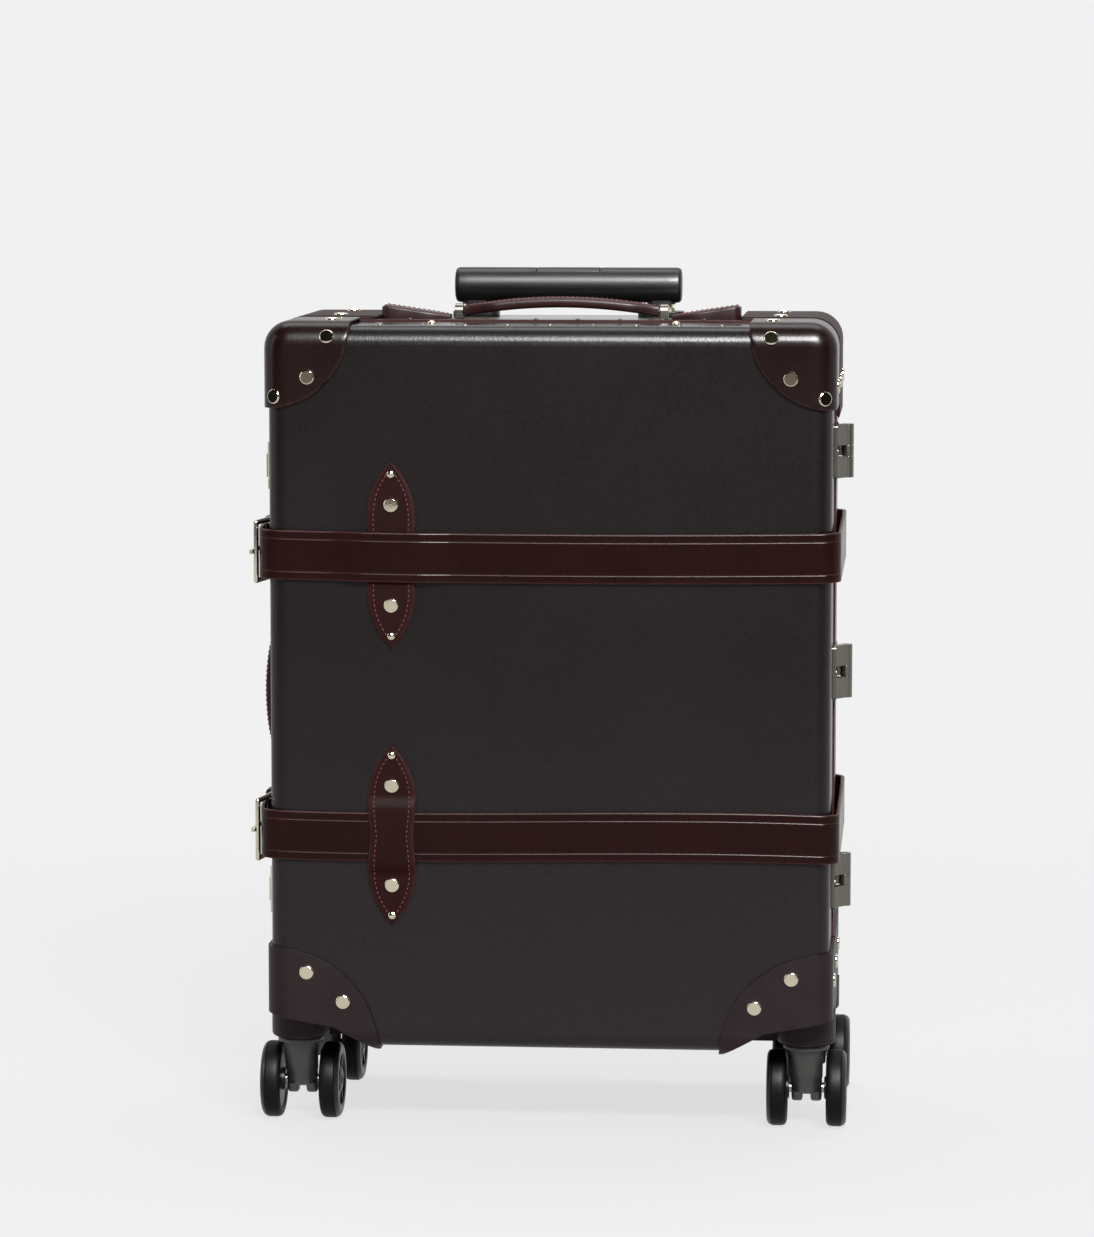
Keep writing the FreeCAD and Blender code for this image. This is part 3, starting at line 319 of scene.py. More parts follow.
@dataclass(frozen=True)
class Finish:
    """A finish that paints one material."""

    RELIEF: ClassVar[float] = 0.6

    name: str
    colour: Rgb
    roughness: float
    specular: float

    def material(self) -> bpy.types.Material:
        """The finish's material, painted when it is first asked for.

        Returns:
            The material.
        """
        found = bpy.data.materials.get(self.name)
        if found is None:
            found = bpy.data.materials.new(self.name)
            found.use_nodes = True
            found.diffuse_color = linear(self.colour)
            self.paint(Graph(found.node_tree), found.node_tree.nodes["Principled BSDF"])
        return found

    def paint(self, graph: Graph, shader: bpy.types.Node) -> None:
        """Fill the material's nodes.

        Args:
            graph: the material's node tree.
            shader: its main shader node.
        """
        raise NotImplementedError

    def surface(self, graph: Graph, shader: bpy.types.Node, colour: Sock, rough: Sock, height: Sock,
                depth: float) -> None:
        """Link colour, roughness and relief to the shader.

        Args:
            graph: the material's node tree.
            shader: its main shader node.
            colour: base colour.
            rough: roughness.
            height: relief from 0 to 1.
            depth: relief's depth in metres.
        """
        graph.feed(shader.inputs["Base Color"], colour)
        graph.feed(shader.inputs["Roughness"], rough.clamped())
        relief = {"Strength": self.RELIEF, "Distance": depth, "Height": height}
        bump = graph.node("ShaderNodeBump", {}, relief)
        graph.feed(shader.inputs["Normal"], bump)
        shader.inputs["Specular IOR Level"].default_value = self.specular


@dataclass(frozen=True)
class FibreFinish(Finish):
    """Pressed fibreboard with short upright fibres and a waxed surface."""

    fleck: Rgb = (26, 20, 21)
    # Painted light: the face is mixed towards this paler colour near the bottom of the case.
    rubbed: Rgb = (40, 33, 36)
    depth: float = 0.00024
    top_edge: float = 0.5412
    top_fade: float = 0.0012
    # Height in metres where the painted paler foot begins, and the height over which it fades in.
    rub_start: float = 0.34
    rub_span: float = 0.28

    def paint(self, graph: Graph, shader: bpy.types.Node) -> None:
        """Charcoal board with a fine fibre grain, faint clouds, a foot painted paler as painted light, and a
        smoother top.

        Args:
            graph: the material's node tree.
            shader: its main shader node.
        """
        height = graph.node("ShaderNodeSeparateXYZ", {}, {0: graph.coords()}, out="Z")
        top = ((height - self.top_edge) / self.top_fade).clamped()
        # Painted light: low grows towards the case's foot, and the colour below pales the face there.
        low = ((self.rub_start - height) / self.rub_span).clamped()
        streak = graph.noise(1500, 3, (1.0, 0.45, 0.4))
        pebble = graph.cells(700, (1.0, 0.8, 0.55))
        mottle = graph.noise(380, 2, (1.0, 0.6, 0.45))
        cloud = graph.noise(9, 4)
        tone = (0.55 * streak + 0.45 * cloud - 0.2).clamped()
        board = graph.blend(tone, linear(self.colour), linear(self.fleck))
        colour = graph.blend(low * (0.45 + 0.55 * streak), board, linear(self.rubbed))
        rough = self.roughness + 0.16 * (streak - 0.5) + 0.10 * (cloud - 0.5) - 0.14 * top
        relief = (0.35 * streak + 0.25 * pebble + 0.4 * mottle) * (1.0 - 0.85 * top)
        self.surface(graph, shader, colour, rough, relief, self.depth)


@dataclass(frozen=True)
class LeatherFinish(Finish):
    """Waxed bridle leather with pale cut edges, and a painted highlight on pressed creases in the same pale
    colour.
    """

    # Colour of worn cut edges, also used for the painted highlight along the straps' creases.
    edge: Rgb = (132, 92, 90)
    pores: float = 1100.0
    depth: float = 0.00010
    coat: float = 0.08
    coat_roughness: float = 0.16

    def paint(self, graph: Graph, shader: bpy.types.Node) -> None:
        """Deep colour with clouds, pores, fine creases, and the pale edge colour where the mesh marks worn
        edges and painted crease highlights.

        Args:
            graph: the material's node tree.
            shader: its main shader node.
        """
        cloud = graph.noise(22, 4)
        pore = graph.noise(self.pores, 2)
        crease = graph.cells(self.pores * 0.42)
        # Painted highlight: the mesh's mark pales the straps' creases as well as their worn edges.
        wear_and_sheen_mask = (graph.mark("wear") * (0.45 + 1.1 * graph.noise(160, 3))).clamped()
        lighter = tuple(min(255, round(c * 1.2 + 2)) for c in self.colour)
        tone = (0.9 * cloud + 0.35 * pore - 0.25).clamped()
        body = graph.blend(tone, linear(self.colour), linear(lighter))
        colour = graph.blend(wear_and_sheen_mask, body, linear(self.edge))
        rough = self.roughness + 0.14 * (cloud - 0.5) + 0.10 * (pore - 0.5) + 0.22 * wear_and_sheen_mask
        self.surface(graph, shader, colour, rough, 0.55 * pore + 0.45 * crease, self.depth)
        shader.inputs["Coat Weight"].default_value = self.coat
        shader.inputs["Coat Roughness"].default_value = self.coat_roughness


@dataclass(frozen=True)
class MetalFinish(Finish):
    """Plated or drawn metal."""

    stretch: tuple[float, float, float] = (1.0, 1.0, 1.0)
    scratch: float = 900.0
    vary: float = 1.0
    depth: float = 0.00003

    def paint(self, graph: Graph, shader: bpy.types.Node) -> None:
        """Metal with faint smudges and hairline scratches.

        Args:
            graph: the material's node tree.
            shader: its main shader node.
        """
        smudge = graph.noise(60, 3)
        hair = graph.noise(self.scratch, 2, self.stretch)
        dull = tuple(round(c * 0.86) for c in self.colour)
        colour = graph.blend(smudge, linear(self.colour), linear(dull))
        rough = self.roughness + self.vary * (0.12 * (smudge - 0.5) + 0.10 * (hair - 0.5))
        self.surface(graph, shader, colour, rough, hair, self.depth)
        shader.inputs["Metallic"].default_value = 1.0


@dataclass(frozen=True)
class MouldedFinish(Finish):
    """Moulded plastic or rubber with a fine stipple."""

    stipple: float = 1600.0
    depth: float = 0.00012
    dust: Rgb = (60, 58, 58)

    def paint(self, graph: Graph, shader: bpy.types.Node) -> None:
        """Even colour with stipple, handling marks and paler edges where the mesh marks them.

        Args:
            graph: the material's node tree.
            shader: its main shader node.
        """
        speck = graph.noise(self.stipple, 2)
        rub = graph.noise(40, 4)
        tone = (0.35 * speck + 0.5 * rub - 0.2 + 0.8 * graph.mark("wear")).clamped()
        colour = graph.blend(tone, linear(self.colour), linear(self.dust))
        rough = self.roughness + 0.14 * (rub - 0.5) + 0.08 * (speck - 0.5)
        self.surface(graph, shader, colour, rough, speck, self.depth)


@dataclass(frozen=True)
class ClothFinish(Finish):
    """Plain woven lining cloth."""

    weft: Rgb = (96, 84, 76)
    threads: float = 1500.0
    depth: float = 0.0002
    sheen: float = 0.25

    def paint(self, graph: Graph, shader: bpy.types.Node) -> None:
        """Two thread directions in two tones, with slubs.

        Args:
            graph: the material's node tree.
            shader: its main shader node.
        """
        turn = 2 * math.pi * self.threads
        axes = graph.node("ShaderNodeSeparateXYZ", {}, {0: graph.coords()}, out="X")
        parts = axes.socket.node.outputs
        across = Sock(graph, parts["X"]) + Sock(graph, parts["Y"])
        warp = graph.node("ShaderNodeMath", {"operation": "SINE"}, {0: across * turn})
        weft = graph.node("ShaderNodeMath", {"operation": "SINE"}, {0: Sock(graph, parts["Z"]) * turn})
        weave = 0.5 + 0.5 * (warp * weft)
        slub = graph.noise(240, 3, (1.0, 1.0, 0.15))
        tone = (0.7 * weave + 0.5 * slub - 0.1).clamped()
        colour = graph.blend(tone, linear(self.colour), linear(self.weft))
        rough = self.roughness + 0.1 * (slub - 0.5)
        self.surface(graph, shader, colour, rough, 0.7 * weave + 0.3 * slub, self.depth)
        shader.inputs["Sheen Weight"].default_value = self.sheen


@dataclass(frozen=True)
class WoodFinish(Finish):
    """Bent ash strip under a thin varnish."""

    late: Rgb = (120, 86, 56)
    depth: float = 0.0002

    def paint(self, graph: Graph, shader: bpy.types.Node) -> None:
        """Long grain with darker late wood and open pores.

        Args:
            graph: the material's node tree.
            shader: its main shader node.
        """
        grain = graph.noise(260, 4, (0.12, 1.0, 0.12))
        pore = graph.noise(1800, 2, (0.2, 1.0, 0.2))
        colour = graph.blend(grain, linear(self.colour), linear(self.late))
        rough = self.roughness + 0.2 * (grain - 0.5)
        self.surface(graph, shader, colour, rough, 0.6 * grain + 0.4 * pore, self.depth)


FIBRE = FibreFinish("charcoal_fibre", (17, 10, 11), 0.30, 0.20)
# The strap leather's edge colour also paints the highlight along the straps' creases.
LEATHER = LeatherFinish("oxblood_leather", (29, 6, 5), 0.26, 0.08, edge=(92, 56, 54), coat=0.04)
KEEPER = LeatherFinish("oxblood_keeper_leather", (33, 10, 9), 0.58, 0.04, edge=(92, 56, 54), coat=0.0)
HANDLE = LeatherFinish("oxblood_handle_leather", (36, 11, 12), 0.32, 0.15, edge=(84, 53, 53), coat=0.02)
CORNER = LeatherFinish("oxblood_corner_leather", (25, 8, 7), 0.28, 0.13, edge=(64, 38, 36),
                       pores=900.0, coat=0.04)
REAR_CORNER = LeatherFinish("oxblood_rear_corner", (34, 12, 12), 0.50, 0.06, edge=(66, 38, 36),
                            pores=900.0, coat=0.0)
HOUSING = MouldedFinish("moulded_housing", (29, 16, 19), 0.44, 0.15, stipple=1300.0, dust=(46, 32, 35))
RIM = MouldedFinish("burgundy_rim", (66, 28, 31), 0.32, 0.3, stipple=900.0, dust=(86, 44, 46))
NICKEL = MetalFinish("polished_nickel", (214, 206, 190), 0.15, 0.5)
SATIN = MetalFinish("satin_nickel", (217, 207, 184), 0.055, 0.5, vary=0.1)
# Painted shade: a darkened nickel, so that the stud rows and hinge-leaf heads show dimmer reflections.
SHADED_STUD_NICKEL = MetalFinish("dull_nickel", (104, 98, 88), 0.20, 0.5, vary=0.5)
# Painted shade: a darkened nickel for the hinges and handle posts, so that their reflections are dimmer, as
# if in shade.
SHADED_NICKEL = MetalFinish("aged_nickel", (118, 115, 108), 0.26, 0.5)
ALUMINIUM = MetalFinish("drawn_aluminium", (188, 178, 152), 0.30, 0.5, (1.0, 1.0, 0.02), 2200.0)
STEEL = MetalFinish("turned_steel", (170, 170, 172), 0.28, 0.5, (1.0, 0.1, 0.1), 1500.0)
BLACK = MouldedFinish("moulded_black", (15, 15, 16), 0.36, 0.3, dust=(32, 31, 31))
FORK = MouldedFinish("fork_plastic", (46, 45, 44), 0.40, 0.5, stipple=1100.0, dust=(70, 69, 66))
RUBBER = MouldedFinish("tyre_rubber", (11, 11, 11), 0.46, 0.08, stipple=900.0, dust=(22, 21, 21))
GRIP = LeatherFinish("black_grip_leather", (15, 15, 16), 0.42, 0.22, edge=(36, 36, 38), pores=1500.0)
LINING = ClothFinish("lining_cloth", (132, 117, 104), 0.82, 0.2)
WOOD = WoodFinish("frame_ash", (164, 128, 90), 0.42, 0.4)
THREAD = LeatherFinish("burgundy_thread", (108, 44, 58), 0.60, 0.16, edge=(124, 66, 78),
                       pores=2600.0, coat=0.0)


def spread(low: float, high: float, steps: int) -> list[float]:
    """Evenly spaced values from low to high, both included."""
    return [low + (high - low) * k / steps for k in range(steps + 1)]


def turns(steps: int, shift: float = 0.0) -> list[float]:
    """Angles of evenly spaced steps round a circle, shifted by a share of a step."""
    return [2 * math.pi * (k + shift) / steps for k in range(steps)]


class Shape:
    """A mesh in the making: points in millimetres, faces, and for each point a mark of wear and painted
    sheen.
    """

    def __init__(self) -> None:
        """Start empty."""
        self.points: list[Vector] = []
        self.wear: list[float] = []
        self.faces: list[tuple[int, ...]] = []

    def row(self, points: Sequence[Sequence[float]], wear: Sequence[float] | None = None) -> list[int]:
        """Add a row of points.

        Args:
            points: places in millimetres.
            wear: wear and painted sheen of each point, none when left out.
        Returns:
            The points' numbers.
        """
        first = len(self.points)
        self.points += [Vector(p) for p in points]
        self.wear += list(wear) if wear is not None else [0.0] * len(points)
        return list(range(first, len(self.points)))

    def skin(self, rows: Sequence[Sequence[int]], loop: bool, wrap: bool = False) -> None:
        """Join rows with quads.

        Args:
            rows: point numbers of rows of equal length.
            loop: each row is a closed ring.
            wrap: the last row joins the first.
        """
        pairs = list(zip(rows, rows[1:])) + ([(rows[-1], rows[0])] if wrap else [])
        for a, b in pairs:
            count = len(a)
            for i in range(count if loop else count - 1):
                j = (i + 1) % count
                self.faces.append((a[i], a[j], b[j], b[i]))

    def loft(self, rings: Sequence[Sequence[Vector]], wear: Sequence[float]) -> None:
        """Close a solid over a series of rings.

        Args:
            rings: closed rings of equal length.
            wear: wear and painted sheen of each point of a ring.
        """
        rows = [self.row(ring, wear) for ring in rings]
        self.skin(rows, loop=True)
        self.faces.append(tuple(rows[0]))
        self.faces.append(tuple(reversed(rows[-1])))

    def lathe(self, profile: Sequence[Pair], axis: Vector, centre: Vector, steps: int = 48,
              closed: bool = True) -> None:
        """Turn a profile about an axis.

        Args:
            profile: (radius, distance along the axis) points.
            axis: unit direction of the axis.
            centre: point on the axis where the distance is 0.
            steps: faces round the axis.
            closed: the profile's last point joins its first.
        """
        side = axis.orthogonal().normalized()
        up = axis.cross(side)
        rows = []
        for angle in turns(steps):
            out = side * math.cos(angle) + up * math.sin(angle)
            rows.append(self.row([centre + axis * along + out * r for r, along in profile]))
        self.skin(rows, loop=closed, wrap=True)

    def piece(self, name: str, sharp: float = SHARP, sheet: bool = False) -> bpy.types.Object:
        """Make the object.

        Args:
            name: the piece's name.
            sharp: edges that bend by more degrees stay sharp.
            sheet: the mesh is an open sheet whose front faces away from the middle of the case.
        Returns:
            The object, at the origin.
        """
        mesh = bpy.data.meshes.new(name)
        mesh.from_pydata([p * MM for p in self.points], [], self.faces)
        mark = mesh.attributes.new("wear", "FLOAT", "POINT")
        mark.data.foreach_set("value", self.wear)
        work = bmesh.new()
        work.from_mesh(mesh)
        bmesh.ops.remove_doubles(work, verts=work.verts, dist=WELD)
        bmesh.ops.dissolve_degenerate(work, edges=work.edges, dist=WELD)
        bmesh.ops.recalc_face_normals(work, faces=work.faces)
        if sheet:
            outward = (f.normal.dot(f.calc_center_median() - CASE_MIDDLE) * f.calc_area() for f in work.faces)
            if sum(outward) < 0:
                bmesh.ops.reverse_faces(work, faces=work.faces)
        work.to_mesh(mesh)
        work.free()
        return stand(name, mesh, sharp)


def link(name: str, data: bpy.types.ID) -> bpy.types.Object:
    """Put an object in the scene.

    Args:
        name: its name.
        data: its mesh, lamp or camera.
    Returns:
        The object, at the origin.
    """
    made = bpy.data.objects.new(name, data)
    bpy.context.scene.collection.objects.link(made)
    return made


def smooth(mesh: bpy.types.Mesh, sharp: float) -> None:
    """Shade a mesh smooth, apart from edges that bend by more than the given degrees."""
    mesh.polygons.foreach_set("use_smooth", [True] * len(mesh.polygons))
    mesh.set_sharp_from_angle(angle=math.radians(sharp))


def stand(name: str, mesh: bpy.types.Mesh, sharp: float) -> bpy.types.Object:
    """Put a mesh in the scene with smooth faces.

    Args:
        name: the piece's name.
        mesh: its mesh, in metres.
        sharp: edges that bend by more degrees stay sharp.
    Returns:
        The object, at the origin.
    """
    smooth(mesh, sharp)
    return link(name, mesh)


def settle(piece: bpy.types.Object) -> None:
    """Turn a piece with modifiers into a plain mesh.

    Args:
        piece: the object, which loses its modifiers.
    """
    graph = bpy.context.evaluated_depsgraph_get()
    plain = bpy.data.meshes.new_from_object(piece.evaluated_get(graph))
    piece.modifiers.clear()
    piece.data = plain


def dress(piece: bpy.types.Object, body: str, finish: Finish, nodes: Sequence[str] = ()) -> None:
    """Give a piece its material and its place in the frame.

    Args:
        piece: the object.
        body: the body that it rides on.
        finish: its finish.
        nodes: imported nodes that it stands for.
    """
    piece.data.materials.clear()
    piece.data.materials.append(finish.material())
    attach(piece, body)
    if nodes:
        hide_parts(*nodes)
    LOG.info("%s rides on %s in %s", piece.name, body, finish.name)


def paint_node(node: str, finish: Finish) -> None:
    """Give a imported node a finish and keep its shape.

    Args:
        node: the node's name.
        finish: its finish.
    """
    shown = frame["nodes"][node]
    shown.data.materials.clear()
    shown.data.materials.append(finish.material())
    LOG.info("%s keeps its shape in %s", node, finish.name)


def eased(node: str, finish: Finish, width: float) -> None:
    """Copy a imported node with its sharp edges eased, so that they catch light.

    Args:
        node: the node's name.
        finish: its finish.
        width: width of the eased edge in millimetres.
    """
    source = frame["nodes"][node]
    mesh = bpy.data.meshes.new(node + "_eased")
    corners = [tuple(p.vertices) for p in source.data.polygons]
    mesh.from_pydata([v.co for v in source.data.vertices], [], corners)
    work = bmesh.new()
    work.from_mesh(mesh)
    bmesh.ops.remove_doubles(work, verts=work.verts, dist=NODE_WELD)
    bmesh.ops.dissolve_limit(work, angle_limit=math.radians(FLAT), verts=work.verts, edges=work.edges)
    work.to_mesh(mesh)
    work.free()
    piece = stand(node + "_eased", mesh, ALL_SMOOTH)
    bevel = piece.modifiers.new("ease", "BEVEL")
    bevel.width = width * MM
    bevel.segments = EASED_SEGMENTS
    bevel.limit_method = "ANGLE"
    bevel.angle_limit = math.radians(EASED_ANGLE)
    bevel.harden_normals = True
    settle(piece)
    dress(piece, source["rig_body"], finish, [node])


def mirrored(half: Sequence[Pair]) -> list[Pair]:
    """A half outline that starts at 0, with its mirror image, as one ring."""
    return list(half) + [(-a, b) for a, b in reversed(half[1:])]


def doubled(half: Sequence[float]) -> list[float]:
    """Values for the points of a mirrored outline."""
    return list(half) + list(reversed(half[1:]))


def rounded_path(corners: Sequence[Pair], radii: Sequence[float], step: float,
                 bend: float = 9.0) -> list[Pair]:
    """Points along a path with rounded corners.

    Args:
        corners: corner points.
        radii: one radius for each inner corner.
        step: longest distance between points on a straight run.
        bend: most degrees between points on a round.
    Returns:
        The points, first and last corner included.
    """
    points = [Vector(c) for c in corners]
    path: list[Vector] = [points[0]]

    def run_to(target: Vector) -> None:
        """Add points on a straight run.

        Args:
            target: where the run ends.
        """
        start = path[-1]
        count = max(1, math.ceil((target - start).length / step))
        path.extend(start.lerp(target, k / count) for k in range(1, count + 1))

    for before, corner, after, radius in zip(points, points[1:], points[2:], radii):
        way_in = (corner - before).normalized()
        way_out = (after - corner).normalized()
        turn = way_in.angle_signed(way_out)
        cut = radius * math.tan(abs(turn) / 2)
        run_to(corner - way_in * cut)
        start = path[-1]
        inner = Vector((way_in.y, -way_in.x)) * (1 if turn > 0 else -1)
        centre = start + inner * radius
        arm = start - centre
        count = max(2, math.ceil(abs(math.degrees(turn)) / bend))
        for k in range(1, count + 1):
            path.append(centre + Matrix.Rotation(-turn * k / count, 2) @ arm)
    run_to(points[-1])
    return [(p.x, p.y) for p in path]


def smooth_step(value: float) -> float:
    """Ease from 0 to 1.

    Args:
        value: any number.
    Returns:
        The eased number from 0 to 1.
    """
    held = min(1.0, max(0.0, value))
    return held * held * (3 - 2 * held)


def through(knots: Sequence[Pair], place: float) -> float:
    """A smooth curve through points.

    Args:
        knots: (place, value) points in rising order.
        place: where the curve is read.
    Returns:
        The value there.
    """
    last = len(knots) - 1
    k = max(0, min(last - 1, sum(1 for p, _ in knots if p <= place) - 1))
    slopes = []
    for i in (k, k + 1):
        low, high = knots[max(0, i - 1)], knots[min(last, i + 1)]
        slopes.append((high[1] - low[1]) / (high[0] - low[0]))
    (p0, v0), (p1, v1) = knots[k], knots[k + 1]
    span = p1 - p0
    t = min(1.0, max(0.0, (place - p0) / span))
    return ((2 * t**3 - 3 * t**2 + 1) * v0 + (t**3 - 2 * t**2 + t) * span * slopes[0]
            + (3 * t**2 - 2 * t**3) * v1 + (t**3 - t**2) * span * slopes[1])


class Pattern:
    """Geometry node trees that repeat a small part."""

    def __init__(self, name: str, sizes: Sequence[str]) -> None:
        """Start a tree.

        Args:
            name: the tree's name.
            sizes: names of its number inputs.
        """
        self.tree = bpy.data.node_groups.new(name, "GeometryNodeTree")
        self.graph = Graph(self.tree)
        self.keys: dict[str, str] = {}
        face = self.tree.interface
        face.new_socket("Geometry", in_out="INPUT", socket_type="NodeSocketGeometry")
        for size in sizes:
            made = face.new_socket(size, in_out="INPUT", socket_type="NodeSocketFloat")
            self.keys[size] = made.identifier
        made = face.new_socket("Material", in_out="INPUT", socket_type="NodeSocketMaterial")
        self.keys["Material"] = made.identifier
        face.new_socket("Geometry", in_out="OUTPUT", socket_type="NodeSocketGeometry")
        self.entry = self.tree.nodes.new("NodeGroupInput")

    def given(self, name: str) -> Sock:
        """One of the tree's inputs."""
        return Sock(self.graph, self.entry.outputs[name])

    def close(self, instances: Sock) -> None:
        """End the tree with real, painted geometry.

        Args:
            instances: the repeated parts.
        """
        real = self.graph.node("GeometryNodeRealizeInstances", {}, {"Geometry": instances})
        painted = self.graph.node("GeometryNodeSetMaterial", {},
                                  {"Geometry": real, "Material": self.given("Material")})
        self.graph.node("NodeGroupOutput", {}, {"Geometry": painted})

    def facing(self) -> Sock:
        """The direction that a point carries."""
        return self.graph.node("GeometryNodeInputNamedAttribute", {"data_type": "FLOAT_VECTOR"},
                               {"Name": "facing"})

    def on_points(self, part: Sock, turn: Sock) -> None:
        """End the tree with a part on every point of the given mesh.

        Args:
            part: the part that repeats.
            turn: its rotation.
        """
        dots = self.graph.node("GeometryNodeMeshToPoints", {}, {"Mesh": self.given("Geometry")})
        self.close(self.graph.node("GeometryNodeInstanceOnPoints", {},
                                   {"Points": dots, "Instance": part, "Rotation": turn}))

    @staticmethod
    def dots(name: str, spots: Sequence[Spot]) -> bpy.types.Mesh:
        """A mesh of points that carry their facing.

        Args:
            name: name of the mesh.
            spots: (point in millimetres, direction) pairs.
        Returns:
            The mesh.
        """
        mesh = bpy.data.meshes.new(name)
        mesh.from_pydata([p * MM for p, _ in spots], [], [])
        facing = mesh.attributes.new("facing", "FLOAT_VECTOR", "POINT")
        facing.data.foreach_set("vector", [c for _, way in spots for c in way.normalized()])
        return mesh

    def run(self, name: str, base: bpy.types.Mesh, sizes: dict[str, float], finish: Finish,
            sharp: float = SOFT) -> bpy.types.Object:
        """Run the tree on a mesh of points or edges.

        Args:
            name: name of the piece.
            base: the mesh that carries the pattern.
            sizes: the number inputs by name.
            finish: finish of the parts.
            sharp: edges that bend by more degrees stay sharp.
        Returns:
            The piece as a plain mesh.
        """
        piece = link(name, base)
        modifier = piece.modifiers.new(name, "NODES")
        modifier.node_group = self.tree
        for key, value in sizes.items():
            modifier[self.keys[key]] = value
        modifier[self.keys["Material"]] = finish.material()
        settle(piece)
        smooth(piece.data, sharp)
        return piece


class HeadPattern(Pattern):
    """Rivet heads on points that carry their facing."""

    SHARP: ClassVar[float] = 22.0
    ROUND: ClassVar[int] = 28
    STEPS: ClassVar[int] = 5
    EDGE_POWER: ClassVar[int] = 3
    CROWN_POWER: ClassVar[int] = 24

    def __init__(self) -> None:
        """Build the tree: a turned head on every point."""
        super().__init__("rivet_heads", ("Head Radius", "Head Height", "Edge Round", "Crown"))
        g = self.graph
        radius, height = self.given("Head Radius"), self.given("Head Height")
        drum = g.node("GeometryNodeMeshCylinder", {"fill_type": "TRIANGLE_FAN"},
                      {"Vertices": self.ROUND, "Side Segments": self.STEPS, "Radius": radius,
                       "Depth": height}, out="Mesh")
        place = g.node("GeometryNodeInputPosition")
        axes = g.node("ShaderNodeSeparateXYZ", {}, {0: place}).socket.node.outputs
        x, y, z = (Sock(g, axes[k]) for k in "XYZ")
        rise = (z / height + 0.5).clamped()
        pull = 1 - self.given("Edge Round") * (rise ** self.EDGE_POWER)
        away = (x * x + y * y) / (radius * radius)
        crown = self.given("Crown") * (1 - away).clamped() * (rise ** self.CROWN_POWER)
        shaped = g.node("ShaderNodeCombineXYZ", {}, {0: x * pull, 1: y * pull, 2: z + 0.5 * height + crown})
        head = g.node("GeometryNodeSetPosition", {}, {"Geometry": drum, "Position": shaped})
        turn = g.node("FunctionNodeAlignRotationToVector", {"axis": "Z"}, {"Vector": self.facing()})
        self.on_points(head, turn)

    def place(self, name: str, spots: Sequence[Spot], kind: "HeadKind", finish: Finish) -> bpy.types.Object:
        """Put heads on spots.

        Args:
            name: name of the piece.
            spots: (point in millimetres, outward direction) pairs.
            kind: size of the heads.
            finish: their finish.
        Returns:
            The piece.
        """
        sizes = {"Head Radius": kind.radius * MM, "Head Height": kind.height * MM,
                 "Edge Round": kind.edge, "Crown": kind.crown * MM}
        return self.run(name, self.dots(name, spots), sizes, finish, self.SHARP)


class StitchPattern(Pattern):
    """Sewn stitches along edges."""

    PITCH: ClassVar[float] = 3.3
    LENGTH: ClassVar[float] = 0.64 * PITCH
    THREAD_RADIUS: ClassVar[float] = 0.42
    BEAD: ClassVar[dict[str, float]] = {"Segments": 8, "Rings": 6, "Radius": 0.5}

    def __init__(self) -> None:
        """Build the tree: a short thread at every pitch, along the line."""
        super().__init__("stitches", ("Pitch", "Stitch Length", "Thread Radius"))
        g = self.graph
        line = g.node("GeometryNodeMeshToCurve", {}, {"Mesh": self.given("Geometry")})
        line = g.node("GeometryNodeResampleCurve", {"mode": "LENGTH"},
                      {"Curve": line, "Length": self.given("Pitch")})
        bead = g.node("GeometryNodeMeshUVSphere", {}, self.BEAD)
        thick = 2 * self.given("Thread Radius")
        size = g.node("ShaderNodeCombineXYZ", {}, {0: thick, 1: thick, 2: self.given("Stitch Length")})
        along = g.node("GeometryNodeInputTangent")
        turn = g.node("FunctionNodeAlignRotationToVector", {"axis": "Z"}, {"Vector": along})
        self.close(g.node("GeometryNodeInstanceOnPoints", {},
                          {"Points": line, "Instance": bead, "Rotation": turn, "Scale": size}))

    def sew(self, name: str, lines: Sequence[Sequence[Vector]]) -> bpy.types.Object:
        """Sew along lines.

        Args:
            name: name of the piece.
            lines: rows of points in millimetres.
        Returns:
            The piece.
        """
        points: list[Vector] = []
        edges: list[tuple[int, int]] = []
        for line in lines:
            first = len(points)
            points += [p * MM for p in line]
            edges += [(k, k + 1) for k in range(first, len(points) - 1)]
        mesh = bpy.data.meshes.new(name)
        mesh.from_pydata(points, edges, [])
        sizes = {"Pitch": self.PITCH * MM, "Stitch Length": self.LENGTH * MM,
                 "Thread Radius": self.THREAD_RADIUS * MM}
        return self.run(name, mesh, sizes, THREAD)


class RibPattern(Pattern):
    """Ribs set round a wheel's axle."""

    SIZES: ClassVar[dict[str, float]] = {"Rib Length": 10.4 * MM, "Rib Width": 2.6 * MM,
                                         "Rib Depth": 2.2 * MM}
    GRID: ClassVar[dict[str, int]] = {"Vertices X": 3, "Vertices Y": 3, "Vertices Z": 4}

    def __init__(self) -> None:
        """Build the tree: a bar on every point, turned away from the axle."""
        super().__init__("hub_ribs", tuple(self.SIZES))
        g = self.graph
        size = g.node("ShaderNodeCombineXYZ", {},
                      {0: self.given("Rib Depth"), 1: self.given("Rib Width"), 2: self.given("Rib Length")})
        bar = g.node("GeometryNodeMeshCube", {}, {"Size": size, **self.GRID}, out="Mesh")
        turn = g.node("FunctionNodeAxesToRotation", {"primary_axis": "Z", "secondary_axis": "X"},
                      {"Primary Axis": self.facing(), "Secondary Axis": (1.0, 0.0, 0.0)})
        self.on_points(bar, turn)

    def place(self, name: str, spots: Sequence[Spot]) -> bpy.types.Object:
        """Put ribs on spots.

        Args:
            name: name of the piece.
            spots: (rib's middle in millimetres, direction away from the axle) pairs.
        Returns:
            The piece.
        """
        return self.run(name, self.dots(name, spots), self.SIZES, BLACK)


@dataclass(frozen=True)
class HeadKind:
    """Sizes of one kind of rivet head in millimetres."""

    radius: float
    height: float
    edge: float
    crown: float


